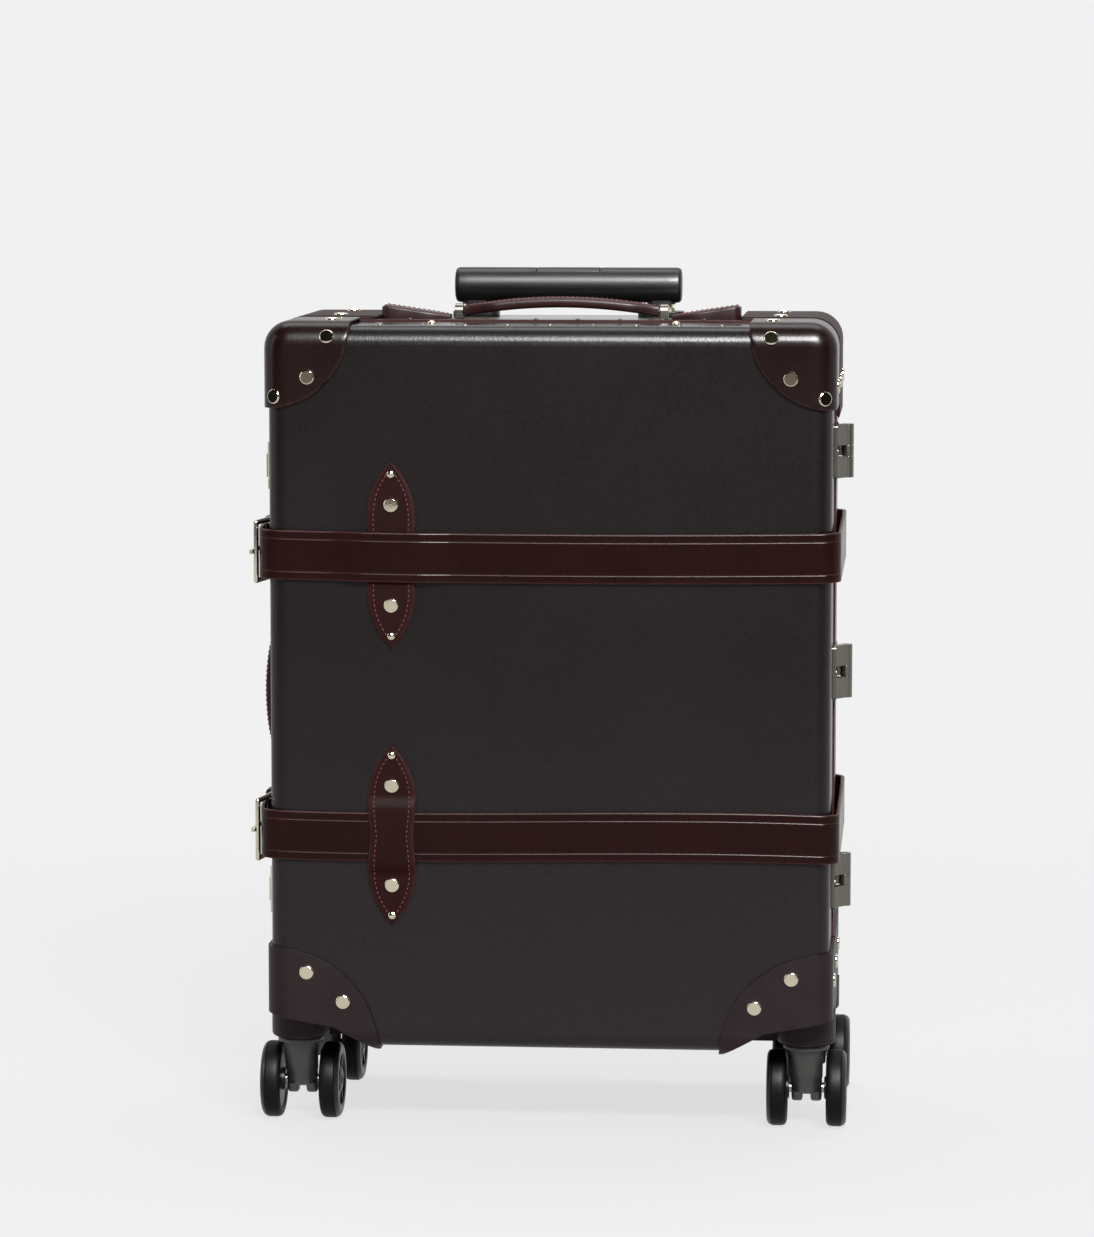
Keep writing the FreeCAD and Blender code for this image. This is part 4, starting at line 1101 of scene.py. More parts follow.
RIVET = HeadKind(5.0, 1.25, 0.17, 0.05)
STUD = HeadKind(2.8, 1.7, 0.55, 0.5)
ROW_STUD = HeadKind(2.1, 0.8, 0.5, 0.3)
RIM_PIN = HeadKind(1.5, 0.8, 0.5, 0.3)


@dataclass
class CaseBody:
    """The two fibreboard halves, the rim and what lines them."""

    half_width: float = HALF_WIDTH
    front: float = -FACE
    bottom: float = 58.0
    top: float = TOP
    corner: float = 15.0
    edge: float = 13.0

    def build(self) -> None:
        """Paint the shells and linings, and ease the rim and frame."""
        for node in ("lid_shell", "base_shell"):
            paint_node(node, FIBRE)
        for node in ("lid_lining", "base_lining"):
            paint_node(node, LINING)
        eased("lid_frame", WOOD, 0.6)
        eased("base_rim", RIM, 0.8)
        for half in Half:
            for side in Side:
                eased(f"{half.body}_wheel_housing_{side.name.lower()}", HOUSING, 0.7)


@dataclass(frozen=True)
class CornerKind:
    """Sizes in millimetres and finish of one half's corners."""

    reach: float
    thick: float
    seam: float
    finish: Finish


CORNERS = {Half.LID: CornerKind(55.0, 3.0, -32.0, CORNER),
           Half.BASE: CornerKind(64.0, 3.2, -25.4, REAR_CORNER)}


@dataclass
class LeatherCorners:
    """Moulded leather corners over the top of each half."""

    NEAR: ClassVar[tuple[float, ...]] = (0.0, 0.15, 0.4, 0.75, 1.2, 2.5, 5.0)
    ON_FACE: ClassVar[tuple[float, ...]] = (0.15, 0.3, 0.45, 0.6, 0.75, 0.87, 0.93, 0.96, 0.98, 0.992, 1.0)
    STRAIGHT: ClassVar[int] = 9
    ROUND: ClassVar[int] = 8

    case: CaseBody
    sharp: float = 60.0
    turned_edge: float = 1.0
    worn_edge: float = 0.9
    under_gap: float = 0.1

    def build(self) -> None:
        """Make the four corners."""
        for half in Half:
            for side in Side:
                node = f"{half.body}_corner_{side.name.lower()}"
                piece = self.skin(half, side).piece(node + "_leather", self.sharp, sheet=True)
                thick = piece.modifiers.new("thick", "SOLIDIFY")
                thick.thickness = (CORNERS[half].thick - self.under_gap) * MM
                thick.offset = -1.0
                settle(piece)
                dress(piece, half.body, CORNERS[half].finish, [node])

    def skin(self, half: Half, side: Side) -> Shape:
        """The outer skin of one corner as a sheet.

        Args:
            half: lid or base.
            side: left or right.
        Returns:
            The sheet.
        """
        corner = self.case.corner
        straight = [CORNERS[half].reach - d for d in self.NEAR]
        straight += spread(straight[-1], corner, self.STRAIGHT)[1:]
        columns = [(Vector((c, 0)), Vector((0, 1)), c) for c in straight]
        for a in spread(0.0, math.pi / 2, self.ROUND)[1:-1]:
            out = Vector((-math.sin(a), math.cos(a)))
            columns.append((Vector((corner, -corner)) + out * corner, out, corner))
        columns += [(Vector((0, -c)), Vector((-1, 0)), c) for c in reversed(straight)]
        shape = Shape()
        shape.skin([self.column(shape, half, side, *column) for column in columns], loop=False)
        return shape

    def column(self, shape: Shape, half: Half, side: Side, edge: Vector, out: Vector,
               along: float) -> list[int]:
        """One row of points from the seam, over the rounded edge and in on the face.

        Args:
            shape: the sheet that gets the points.
            half: lid or base.
            side: left or right.
            edge: the row's place on the body's outline, from the sharp corner.
            out: outward direction there.
            along: distance of the row from the sharp corner.
        Returns:
            The points' numbers.
        """
        kind, bend, steps = CORNERS[half], self.case.edge, self.ROUND
        face = half.value * FACE
        limit = math.sqrt(max(0.0, kind.reach**2 - along**2))
        inner = min(along, limit)
        turned = math.acos(1 - limit / bend) if limit < bend else math.pi / 2
        begin = face - half.value * bend
        samples = [(edge, depth, out, 0.0) for depth in spread(kind.seam, begin, steps)]
        for a in spread(0.0, turned, steps)[1:]:
            inward = edge - out * bend * (1 - math.cos(a))
            depth = begin + half.value * bend * math.sin(a)
            samples.append((inward, depth, out * math.cos(a), math.sin(a)))
        for share in self.ON_FACE:
            if inner > bend:
                inset = bend + (inner - bend) * share
                samples.append((edge - out * inset, face, out * 0, 1.0))
            else:
                samples.append(samples[-1])
        points, wear = [], []
        for flat, depth, lean, ahead in samples:
            gap = max(0.0, kind.reach - flat.length)
            short = max(0.0, self.turned_edge - gap)
            high = kind.thick - self.turned_edge + math.sqrt(max(0.0, self.turned_edge**2 - short**2))
            x = side.value * (self.case.half_width - flat.x - lean.x * high)
            points.append((x, depth + half.value * ahead * high, self.case.top + flat.y + lean.y * high))
            wear.append(max(0.0, 1 - gap / self.worn_edge))
        return shape.row(points, wear)


@dataclass
class Straps:
    """Two leather straps round the case, with their loops."""

    HOLES: ClassVar[tuple[Pair, ...]] = ((-93.0, 0.0), (-74.0, 0.0), (-47.2, 9.3), (-17.0, 0.0))
    LOOP: ClassVar[tuple[Pair, ...]] = ((0.8, -6.0), (0.8, 6.0), (0.6, 6.4), (-0.6, 6.4),
                                        (-0.8, 6.0), (-0.8, -6.0), (-0.6, -6.4), (0.6, -6.4))
    LOOP_WEAR: ClassVar[tuple[float, ...]] = (0.3, 0.3, 1, 1, 0.3, 0.3, 1, 1)
    QUARTER: ClassVar[int] = 5
    TAIL_STEPS: ClassVar[int] = 30
    HOLE_STEPS: ClassVar[int] = 20
    HINGE_STEPS: ClassVar[int] = 32
    EYE_STEPS: ClassVar[int] = 24

    width: float = 33.0
    thick: float = 2.5
    side_x: float = 192.55
    face: float = 101.7
    lift: float = 2.8
    lift_foot: float = 38.0
    lift_top: float = 20.0
    lift_round: float = 30.0
    hang_start: float = 60.0
    hang_span: float = 35.0
    upper_sag: float = 1.8
    lower_sway: float = 3.2
    hinge: Pair = (196.5, -30.0)
    tail_radius: float = 394.1
    tail_tip: float = 2.0
    tail_start: float = -86.0
    tip_share: float = 0.35
    tip_round: float = 13.0
    crease: float = 5.6
    bend: float = 13.5
    step: float = 6.0
    lid_joint: float = -62.0
    base_joint: float = 2.0
    heel: Pair = (-191.9, -50.0)
    heel_gap: float = 2.5
    eye_outer: float = 3.5
    eye_inner: float = 1.55
    eye_gap: float = 2.8
    eye_chamfer: Pair = (0.3, 0.4)
    hole: float = 2.1
    punch_reach: float = 8.0
    loop_y: float = -16.0
    loop_out: float = 0.5
    loop_in: float = 0.2
    loop_side: float = 0.7
    loop_half: float = 0.8
    loop_round: float = 1.6

    def build(self) -> None:
        """Make both straps in three pieces each, and the loops and eyes."""
        for level in Level:
            self.front(level)
            self.over_hinge(level)
        self.rear()
        self.loops()

    def section(self) -> tuple[list[Pair], list[float]]:
        """Outline of the strap, with a pressed crease along each edge.

        Returns:
            (Across, out) points, and the wear and painted sheen of each: worn cut edges at the sides, a
            painted highlight on each crease.
        """
        half, t = self.width / 2, self.thick / 2
        inset = half - self.crease
        side = [(0.0, t), (inset - 1.3, t), (inset - 0.8, t), (inset - 0.4, t - 0.05), (inset, t - 0.38),
                (inset + 0.4, t - 0.05), (inset + 0.8, t), (inset + 1.3, t), (half - 1.8, t), (half - 1.1, t),
                (half - 0.45, t - 0.14), (half - 0.1, t - 0.55), (half, t - 1.1), (half, -t + 0.7),
                (half - 0.5, -t + 0.1), (half - 1.2, -t)]
        # The marks 0.15, 0.3 and 0.15 on each crease paint a highlight in the edge colour; the marks at the
        # sides are worn cut edges.
        wear = [0, 0, 0, 0.15, 0.3, 0.15, 0, 0, 0, 0.05, 0.35, 0.6, 0.7, 0.7, 0.5, 0.1]
        return mirrored(side), doubled(wear)

    def sweep(self, shape: Shape, path: Sequence[Pair], height: Callable[[Pair], float],
              taper: Callable[[float], float] = lambda run: 1.0) -> None:
        """Run the strap's outline along a path round the case.

        Args:
            shape: the mesh that gets the strap.
            path: (x, y) points, with the case on the left of travel.
            height: middle line's height at a point.
            taper: share of the full width at a distance from the start.
        """
        outline, wear = self.section()
        rings = []
        run = 0.0
        for k, point in enumerate(path):
            before, after = path[max(0, k - 1)], path[min(len(path) - 1, k + 1)]
            way = Vector((after[0] - before[0], after[1] - before[1])).normalized()
            out = Vector((way.y, -way.x, 0))
            if k:
                run += (Vector(point) - Vector(path[k - 1])).length
            middle = Vector((point[0], point[1], height(point)))
            share = taper(run)
            rings.append([middle + out * b + Vector((0, 0, a * share)) for a, b in outline])
        shape.loft(rings, wear)

    def hang(self, level: Level) -> Callable[[Pair], float]:
        """Height of a strap's middle line, which hangs a little on the front.

        Args:
            level: upper or lower strap.
        Returns:
            Height for a point of the path.
        """
        def at(point: Pair) -> float:
            """Height at one point.

            Args:
                point: the point's (x, y).
            Returns:
                The height.
            """
            ahead = smooth_step((-point[1] - self.hang_start) / self.hang_span)
            across = point[0] / self.side_x
            if level is Level.UPPER:
                return level.value - self.upper_sag * ahead * (1 - across * across)
            return level.value + self.lower_sway * ahead * across * (1 - across * across)
        return at

    def tail_point(self, y: float) -> Pair:
        """A point of a tail's middle line, on its arc about the lid's hinge."""
        return self.hinge[0] - math.sqrt(self.tail_radius**2 - (y - self.hinge[1]) ** 2), y

    def tip(self, run: float) -> float:
        """Share of the full width at a distance from a tail's rounded tip."""
        short = 1 - min(1.0, run / self.tip_round)
        return self.tip_share + (1 - self.tip_share) * math.sqrt(1 - short**2)

    def front(self, level: Level) -> None:
        """The front run of a strap with its tail, which rides on the lid.

        Args:
            level: upper or lower strap.
        """
        tail = [self.tail_point(y) for y in spread(self.tail_tip, self.tail_start, self.TAIL_STEPS)]
        join = tail[-1]
        lean = math.asin((self.hinge[1] - self.tail_start) / self.tail_radius)
        ahead = (join[1] + self.face) / math.cos(lean)
        corners = [join, (join[0] + ahead * math.sin(lean), -self.face)]
        radii = [self.bend]
        if level is Level.UPPER:
            high = -self.face - self.lift
            corners += [(KEEPER_X - self.lift_foot, -self.face), (KEEPER_X - self.lift_top, high),
                        (KEEPER_X + self.lift_top, high), (KEEPER_X + self.lift_foot, -self.face)]
            radii += [self.lift_round] * 4
        corners += [(self.side_x, -self.face), (self.side_x, self.lid_joint)]
        path = tail[:-1] + rounded_path(corners, radii + [self.bend], self.step)
        shape = Shape()
        self.sweep(shape, path, self.hang(level), self.tip)
        piece = shape.piece(f"strap_front_{level.word}_leather")
        self.punch(piece, level)
        dress(piece, "lid", LEATHER, [f"strap_front_{level.word}"])

    def punch(self, piece: bpy.types.Object, level: Level) -> None:
        """Punch the row of holes in a strap's tail, with a slot where the prong turns.

        Args:
            piece: the strap.
            level: upper or lower strap.
        """
        punches = Shape()
        for y, reach in self.HOLES:
            x = self.tail_point(max(y, self.tail_start))[0]
            ring = [(y + math.copysign(reach, math.cos(a)) + self.hole * math.cos(a),
                     level.value + self.hole * math.sin(a)) for a in turns(self.HOLE_STEPS, 0.5)]
            rings = [[Vector((x + depth, *point)) for point in ring]
                     for depth in (-self.punch_reach, self.punch_reach)]
            punches.loft(rings, [0.0] * self.HOLE_STEPS)
        tool = punches.piece("punch_" + level.word)
        tool.data.materials.append(LEATHER.material())
        piece.data.materials.append(LEATHER.material())
        cut = piece.modifiers.new("punch", "BOOLEAN")
        cut.object = tool
        cut.operation = "DIFFERENCE"
        cut.solver = "EXACT"
        settle(piece)
        bpy.data.objects.remove(tool)

    def over_hinge(self, level: Level) -> None:
        """The run across the hinge side, between base and lid, which rides on neither body.

        Args:
            level: upper or lower strap.
        """
        path = [(self.side_x, y) for y in spread(self.lid_joint, self.base_joint, self.HINGE_STEPS)]
        shape = Shape()
        self.sweep(shape, path, lambda point: level.value)
        piece = shape.piece(f"strap_hinge_{level.word}_leather")
        piece.data.materials.append(LEATHER.material())
        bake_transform(piece)
        LOG.info("%s bends between base and lid", piece.name)

    def rear(self) -> None:
        """The rear runs of both straps and the eyes that hold the buckles, which ride on the base."""
        shape = Shape()
        corners = [(self.side_x, self.base_joint), (self.side_x, self.face), (-self.side_x, self.face),
                   (-self.side_x, self.heel[1] + self.heel_gap)]
        path = rounded_path(corners, [self.bend, self.bend], self.step)
        for level in Level:
            self.sweep(shape, path, lambda point: level.value)
            cut_in, cut_up = self.eye_chamfer
            outer, inner = self.eye_outer, self.eye_inner
            for low, high in ((-self.width / 2, -self.eye_gap), (self.eye_gap, self.width / 2)):
                ring = [(outer, low + cut_up), (outer - cut_in, low), (inner, low), (inner, high),
                        (outer - cut_in, high), (outer, high - cut_up)]
                shape.lathe(ring, Vector((0, 0, 1)), Vector((*self.heel, level.value)), self.EYE_STEPS)
        dress(shape.piece("straps_rear_leather"), "base", LEATHER, ["straps_rear"])

    def loops(self) -> None:
        """The leather loops that hold the tails, which ride on the base."""
        shape = Shape()
        for level in Level:
            outer = self.tail_point(self.hinge[1])[0] - self.thick / 2 - self.loop_out
            inner = -self.side_x + self.thick / 2 + self.loop_in
            half = self.width / 2 + self.loop_side
            t = self.loop_half
            ring = self.band(outer - t, inner + t, level.value - half - t, level.value + half + t)
            rows = []
            for point, out in ring:
                section = [(point.x + out.x * a, self.loop_y + b, point.y + out.y * a) for a, b in self.LOOP]
                rows.append(shape.row(section, self.LOOP_WEAR))
            shape.skin(rows, loop=True, wrap=True)
        dress(shape.piece("strap_loops_leather"), "base", LEATHER, ["strap_loops"])

    def band(self, x0: float, x1: float, z0: float, z1: float) -> list[Spot]:
        """A rounded rectangle in (x, z) with its outward directions.

        Args:
            x0: low x.
            x1: high x.
            z0: low z.
            z1: high z.
        Returns:
            (point, outward) pairs round the band.
        """
        radius = self.loop_round
        ring = []
        for cx, cz, start in ((x1 - radius, z1 - radius, 0), (x0 + radius, z1 - radius, 90),
                              (x0 + radius, z0 + radius, 180), (x1 - radius, z0 + radius, 270)):
            for angle in spread(start, start + 90, self.QUARTER):
                a = math.radians(angle)
                out = Vector((math.cos(a), math.sin(a)))
                ring.append((Vector((cx, cz)) + out * radius, out))
        return ring


@dataclass
class Keepers:
    """Pointed leather keepers, flat under the upper strap and bridged over the others."""

    EDGE: ClassVar[list[tuple[float, float, float]]] = [(1.0, 1.0, 1.1), (1.0, 0.86, 0.45), (1.0, 0.55, 0.0),
                                                        (1.0, 0.0, 0.0)]
    EDGE_WEAR: ClassVar[list[float]] = [0.12, 0.35, 0.5, 0.35]
    ACROSS: ClassVar[list[float]] = [k / 5 for k in range(-4, 5)]
    RINGS: ClassVar[int] = 72
    STITCH_STEPS: ClassVar[int] = 60

    full: float = 62.0
    short: float = 60.5
    foot: float = 26.0
    plateau: float = 19.5
    seat: float = 0.1
    lift: float = 3.15
    flat_inset: float = 1.1
    least: float = 0.2
    stitch_inset: float = 4.2
    stitch_end: float = 9.5
    stitch_proud: float = 0.05

    def build(self, stitches: StitchPattern) -> None:
        """Make the keepers and sew them.

        Args:
            stitches: the stitch pattern.
        """
        self.one(stitches, Half.LID, Level.UPPER, self.full, False, "keeper_upper")
        self.one(stitches, Half.LID, Level.LOWER, self.short, True, "keeper_lower")
        for level in Level:
            self.one(stitches, Half.BASE, level, self.full, True, "rear_keepers")

    def half_width(self, half_long: float, z: float) -> float:
        """Half width of a keeper at a height from its middle."""
        knots = [(0.0, 14.3), (24.0, 16.0), (half_long - 22, 13.9), (half_long - 9, 7.6), (half_long, 0.35)]
        return through(knots, abs(z))

    def rise(self, bridged: bool, z: float) -> float:
        """Height of a keeper's under side above the face.

        Args:
            bridged: it passes over the strap.
            z: height from the keeper's middle.
        Returns:
            The distance from the face.
        """
        if not bridged:
            return self.seat
        return self.seat + self.lift * smooth_step((self.foot - abs(z)) / (self.foot - self.plateau))

    def one(self, stitches: StitchPattern, half: Half, level: Level, half_long: float, bridged: bool,
            node: str) -> None:
        """Make one keeper.

        Args:
            stitches: the stitch pattern.
            half: lid or base.
            level: strap that it keeps.
            half_long: half its length.
            bridged: it passes over the strap.
            node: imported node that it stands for.
        """
        profile = [(-share, up, back) for share, up, back in reversed(self.EDGE)]
        profile += [(share, 1.0, 0.0) for share in self.ACROSS] + self.EDGE
        wear = list(reversed(self.EDGE_WEAR)) + [0.0] * len(self.ACROSS) + self.EDGE_WEAR
        rings = []
        for k in range(self.RINGS + 1):
            z = -half_long * math.cos(math.pi * k / self.RINGS)
            wide = self.half_width(half_long, z)
            low = self.rise(bridged, z)
            ring = []
            for share, up, back in profile:
                inset = self.flat_inset if abs(share) < 1 else min(back, wide - self.least)
                across = share * max(self.least, wide - inset)
                y = half.value * (FACE + low + up * KEEPER_THICK)
                ring.append(Vector((KEEPER_X + across, y, level.value + z)))
            rings.append(ring)
        shape = Shape()
        shape.loft(rings, wear)
        name = f"keeper_{half.body}_{level.word}"
        dress(shape.piece(name + "_leather", SOFT), half.body, KEEPER, [node])
        lines = []
        reach = half_long - self.stitch_end
        for sign in (-1, 1):
            line = []
            for z in spread(-reach, reach, self.STITCH_STEPS):
                across = self.half_width(half_long, z) - self.stitch_inset
                high = FACE + self.rise(bridged, z) + KEEPER_THICK + self.stitch_proud
                line.append(Vector((KEEPER_X + sign * across, half.value * high, level.value + z)))
            lines.append(line)
        dress(stitches.sew(name + "_stitches", lines), half.body, THREAD)


@dataclass
class Handle:
    """A bowed leather handle with its wedge tabs."""

    TAB: ClassVar[tuple[Pair, ...]] = ((0.0, 0.12), (0.5, 0.07), (0.82, 0.0), (0.93, -0.35), (0.985, -0.9),
                                       (1.0, -1.6))
    TAB_WEAR: ClassVar[tuple[float, ...]] = (0, 0, 0.1, 0.35, 0.4, 0.2, 0.1)
    TAB_STEPS: ClassVar[int] = 32
    STEPS: ClassVar[int] = 64

    mount: Mount
    half: float
    tab_end: float
    tab_high: float
    pivot: float = 5.6
    peak: float = 11.7
    thick: float = 7.0
    width: float = 22.0
    taper: float = 22.5
    tip: float = 8.4
    sharp: float = 55.0
    stitch_end: float = 4.0
    stitch_share: float = 0.72
    stitch_sink: float = 0.2
    post_gap: float = 9.5
    tab_width: float = 24.0
    tab_low: float = 3.2
    tab_floor: float = 0.1
    tab_drop: float = 1.1
    tab_turn: float = 2.5
    tab_stitch_start: float = 2.0
    tab_stitch_inset: float = 2.7
    tab_stitch_proud: float = 0.08

    def build(self, stitches: StitchPattern) -> None:
        """Make the handle, its posts and its tabs.

        Args:
            stitches: the stitch pattern.
        """
        word = self.mount.value
        self.grip(stitches, f"{word}_handle")
        self.tabs(stitches, f"{word}_handle_tabs")
        # The posts take the darkened nickel, which paints shade on them.
        eased(f"{word}_handle_posts", SHADED_NICKEL, 0.5)

    def put(self, x: float, y: float, z: float) -> Vector:
        """A point of the flat drawing, placed on the case."""
        return self.mount.placing @ Vector((x, y, z))

    def bow(self, x: float) -> tuple[Vector, Vector]:
        """Middle line of the handle at x, and its upward direction.

        Args:
            x: place along the handle.
        Returns:
            Point and direction in the drawing's (x, z).
        """
        rise = self.peak - self.pivot
        radius = (self.half**2 + rise**2) / (2 * rise)
        centre = self.peak - radius
        z = centre + math.sqrt(radius**2 - x * x)
        return Vector((x, z)), Vector((x, z - centre)).normalized()

    def half_width(self, x: float) -> float:
        """Half width of the handle at x."""
        share = smooth_step((self.half - abs(x)) / self.taper)
        return 0.5 * (self.tip + (self.width - self.tip) * share)

    def grip(self, stitches: StitchPattern, node: str) -> None:
        """The bowed leather.

        Args:
            stitches: the stitch pattern.
            node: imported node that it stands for.
        """
        t = self.thick / 2
        outline = mirrored([(0.0, t), (0.45, t - 0.05), (0.74, t - 0.2), (0.88, t - 0.6), (0.96, t - 1.2),
                            (1.0, t - 2.2), (1.0, -t + 2.2), (0.96, -t + 1.1), (0.86, -t + 0.4), (0.6, -t)])
        wear = doubled([0, 0, 0, 0.12, 0.3, 0.25, 0.15, 0.2, 0.1, 0])
        rings = []
        for x in spread(-self.half, self.half, self.STEPS):
            (px, pz), up = self.bow(x)
            wide = self.half_width(x)
            rings.append([self.put(px + up.x * b, a * wide, pz + up.y * b) for a, b in outline])
        shape = Shape()
        shape.loft(rings, wear)
        dress(shape.piece(node + "_leather", self.sharp), node, HANDLE, [node])
        lines = []
        high, reach = t - self.stitch_sink, self.half - self.stitch_end
        for sign in (-1, 1):
            line = []
            for x in spread(-reach, reach, self.STEPS):
                (px, pz), up = self.bow(x)
                across = sign * self.stitch_share * self.half_width(x)
                line.append(self.put(px + up.x * high, across, pz + up.y * high))
            lines.append(line)
        dress(stitches.sew(node + "_stitches", lines), node, THREAD)

    def tabs(self, stitches: StitchPattern, node: str) -> None:
        """The two wedge tabs outside the posts.

        Args:
            stitches: the stitch pattern.
            node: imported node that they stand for.
        """
        start = self.half + self.post_gap
        long = self.tab_end - start
        straight = long - self.tab_turn
        wide = self.tab_width / 2
        plan = [(0.0, wide - 5), (0.3 * long, wide - 0.2), (0.6 * long, wide), (long - 3.5, wide - 0.3),
                (long, wide - 3.2)]
        shape = Shape()
        lines = []
        for sign in (-1, 1):
            rings = []
            left: list[Vector] = []
            right: list[Vector] = []
            for run in spread(0.0, long, self.TAB_STEPS):
                half = through(plan, run)
                high = self.tab_low + (self.tab_high - self.tab_low) * min(1.0, run / straight)
                high -= self.tab_drop * smooth_step((run - long + self.tab_turn) / self.tab_turn)
                over = [(a * half, high + b) for a, b in self.TAB] + [(half, self.tab_floor)]
                rings.append([self.put(sign * (start + run), a, b) for a, b in mirrored(over)])
                if self.tab_stitch_start < run < straight:
                    sewn = half - self.tab_stitch_inset
                    for line, across in ((left, -sewn), (right, sewn)):
                        line.append(self.put(sign * (start + run), across, high + self.tab_stitch_proud))
            shape.loft(rings, doubled(self.TAB_WEAR))
            lines += [left, right]
        dress(shape.piece(node + "_leather", SOFT), "base", HANDLE, [node])
        dress(stitches.sew(node + "_stitches", lines), "base", THREAD)


@dataclass
class Rivets:
    """All rivet heads and studs of the two halves."""

    HOUSING_SPOTS: ClassVar[tuple[Pair, ...]] = ((162.5, 109.5), (138.0, 89.7))
    REAR_SPOTS: ClassVar[tuple[Pair, ...]] = ((146.0, 522.0), (156.0, 500.0), (168.0, 489.0))
    DEPTHS: ClassVar[dict[Half, tuple[float, ...]]] = {Half.LID: (-72.0,), Half.BASE: (0.0, 70.0)}
    TOP_X: ClassVar[dict[Half, float]] = {Half.LID: 147.0, Half.BASE: 150.0}
    LEAF_OFFSETS: ClassVar[dict[Half, tuple[float, ...]]] = {Half.LID: (0.0,), Half.BASE: (-11.0, 11.0)}

    case: CaseBody
    housing_thick: float = 2.7
    keeper_seat: float = 0.1
    keeper_rivet: float = 33.5
    keeper_stud: float = 54.0
    face_spot: Pair = (160.0, 509.0)
    edge_z: float = 496.0
    edge_tilt: float = 31.0
    top_tilt: float = 22.0
    top_lean: float = 30.0
    side_z: float = 503.0
    housing_z: float = 104.0
    top_stud: Pair = (82.0, -55.0)
    rim_pin_y: float = -28.0
    pitch: float = 28.4
    row_count: int = 9
    row_inset: float = 18.0
    rim_proud: float = 1.4
    hinge_heights: tuple[float, float, float] = (166.0, 308.5, 457.5)
    hinge_y: float = -30.0
    leaf_thick: float = 2.5
    leaf_reach: float = 14.6
    sink: float = 0.4

    def build(self, heads: HeadPattern) -> None:
        """Place the heads of both halves.

        Args:
            heads: the head pattern.
        """
        for half in Half:
            # The stud rows and hinge-leaf heads take the darkened nickel, which paints shade on them.
            sets = (("rivets", RIVET, SATIN, self.large(half)), ("studs", STUD, SATIN, self.studs(half)),
                    ("row_studs", ROW_STUD, SHADED_STUD_NICKEL, self.rows(half)))
            for word, kind, finish, spots in sets:
                piece = heads.place(f"{half.body}_{word}_heads", spots, kind, finish)
                dress(piece, half.body, finish, [f"{half.body}_rivets"])
        pins = [self.spot((x, self.rim_pin_y, self.case.top + self.rim_proud), (0, 0, 1))
                for x in self.row(self.row_count - 1)]
        dress(heads.place("rim_pin_heads", pins, RIM_PIN, RIM), "base", RIM)

    @staticmethod
    def spot(point: Sequence[float], facing: Sequence[float]) -> Spot:
        """A place and an outward direction."""
        return Vector(point), Vector(facing)

    def row(self, count: int) -> list[float]:
        """Places along x of a centred row."""
        return [self.pitch * (k - (count - 1) / 2) for k in range(count)]

    def on_edge(self, thick: float, tilt: float) -> Pair:
        """Place on the rounded front edge of a corner.

        Args:
            thick: thickness of the leather.
            tilt: angle from the face, in radians.
        Returns:
            Distance in from the body's side, and depth.
        """
        edge = self.case.edge
        radius = edge + thick - self.sink
        return edge - radius * math.sin(tilt), self.case.front + edge - radius * math.cos(tilt)

    def keeper_spots(self, half: Half, reach: float) -> list[Spot]:
        """Spots on the keepers of a half.

        Args:
            half: lid or base.
            reach: distance from the strap's middle line.
        Returns:
            The spots.
        """
        y = half.value * (FACE + self.keeper_seat + KEEPER_THICK)
        return [self.spot((KEEPER_X, y, level.value + s * reach), (0, half.value, 0))
                for level in Level for s in (-1, 1)]

    def front_corner(self, side: Side, thick: float) -> list[Spot]:
        """Rivets on the front of a lid corner: on its upper edge, its face and its outer edge.

        Args:
            side: left or right.
            thick: thickness of the leather.
        Returns:
            The spots.
        """
        s = side.value
        lean, aside = math.radians(self.top_lean), math.radians(self.edge_tilt)
        inset, depth = self.on_edge(thick, math.radians(self.top_tilt))
        upper = (s * self.TOP_X[Half.LID], depth, self.case.top - inset)
        inset, depth = self.on_edge(thick, aside)
        outer = (s * (self.case.half_width - inset), depth, self.edge_z)
        return [self.spot(upper, (0, -math.cos(lean), math.sin(lean))),
                self.spot((s * self.face_spot[0], -FACE - thick, self.face_spot[1]), (0, -1, 0)),
                self.spot(outer, (s * math.sin(aside), -math.cos(aside), 0))]

    def large(self, half: Half) -> list[Spot]:
        """Large rivets of a half.

        Args:
            half: lid or base.
        Returns:
            The spots.
        """
        case, thick = self.case, CORNERS[half].thick
        spots = self.keeper_spots(half, self.keeper_rivet)
        housing = half.value * (FACE + self.housing_thick)
        for side in Side:
            s = side.value
            spots += [self.spot((s * x, housing, z), (0, half.value, 0)) for x, z in self.HOUSING_SPOTS]
            if half is Half.LID:
                spots += self.front_corner(side, thick)
            else:
                spots += [self.spot((s * x, FACE + thick, z), (0, 1, 0)) for x, z in self.REAR_SPOTS]
            leather_x, housing_x = (s * (case.half_width + t) for t in (thick, self.housing_thick))
            for y in self.DEPTHS[half]:
                spots += [self.spot((s * self.TOP_X[half], y, case.top + thick), (0, 0, 1)),
                          self.spot((leather_x, y, self.side_z), (s, 0, 0)),
                          self.spot((housing_x, y, self.housing_z), (s, 0, 0))]
        return spots

    def studs(self, half: Half) -> list[Spot]:
        """Domed studs of a half.

        Args:
            half: lid or base.
        Returns:
            The spots.
        """
        spots = self.keeper_spots(half, self.keeper_stud)
        if half is Half.LID:
            x, y = self.top_stud
            spots += [self.spot((side.value * x, y, self.case.top), (0, 0, 1)) for side in Side]
        return spots

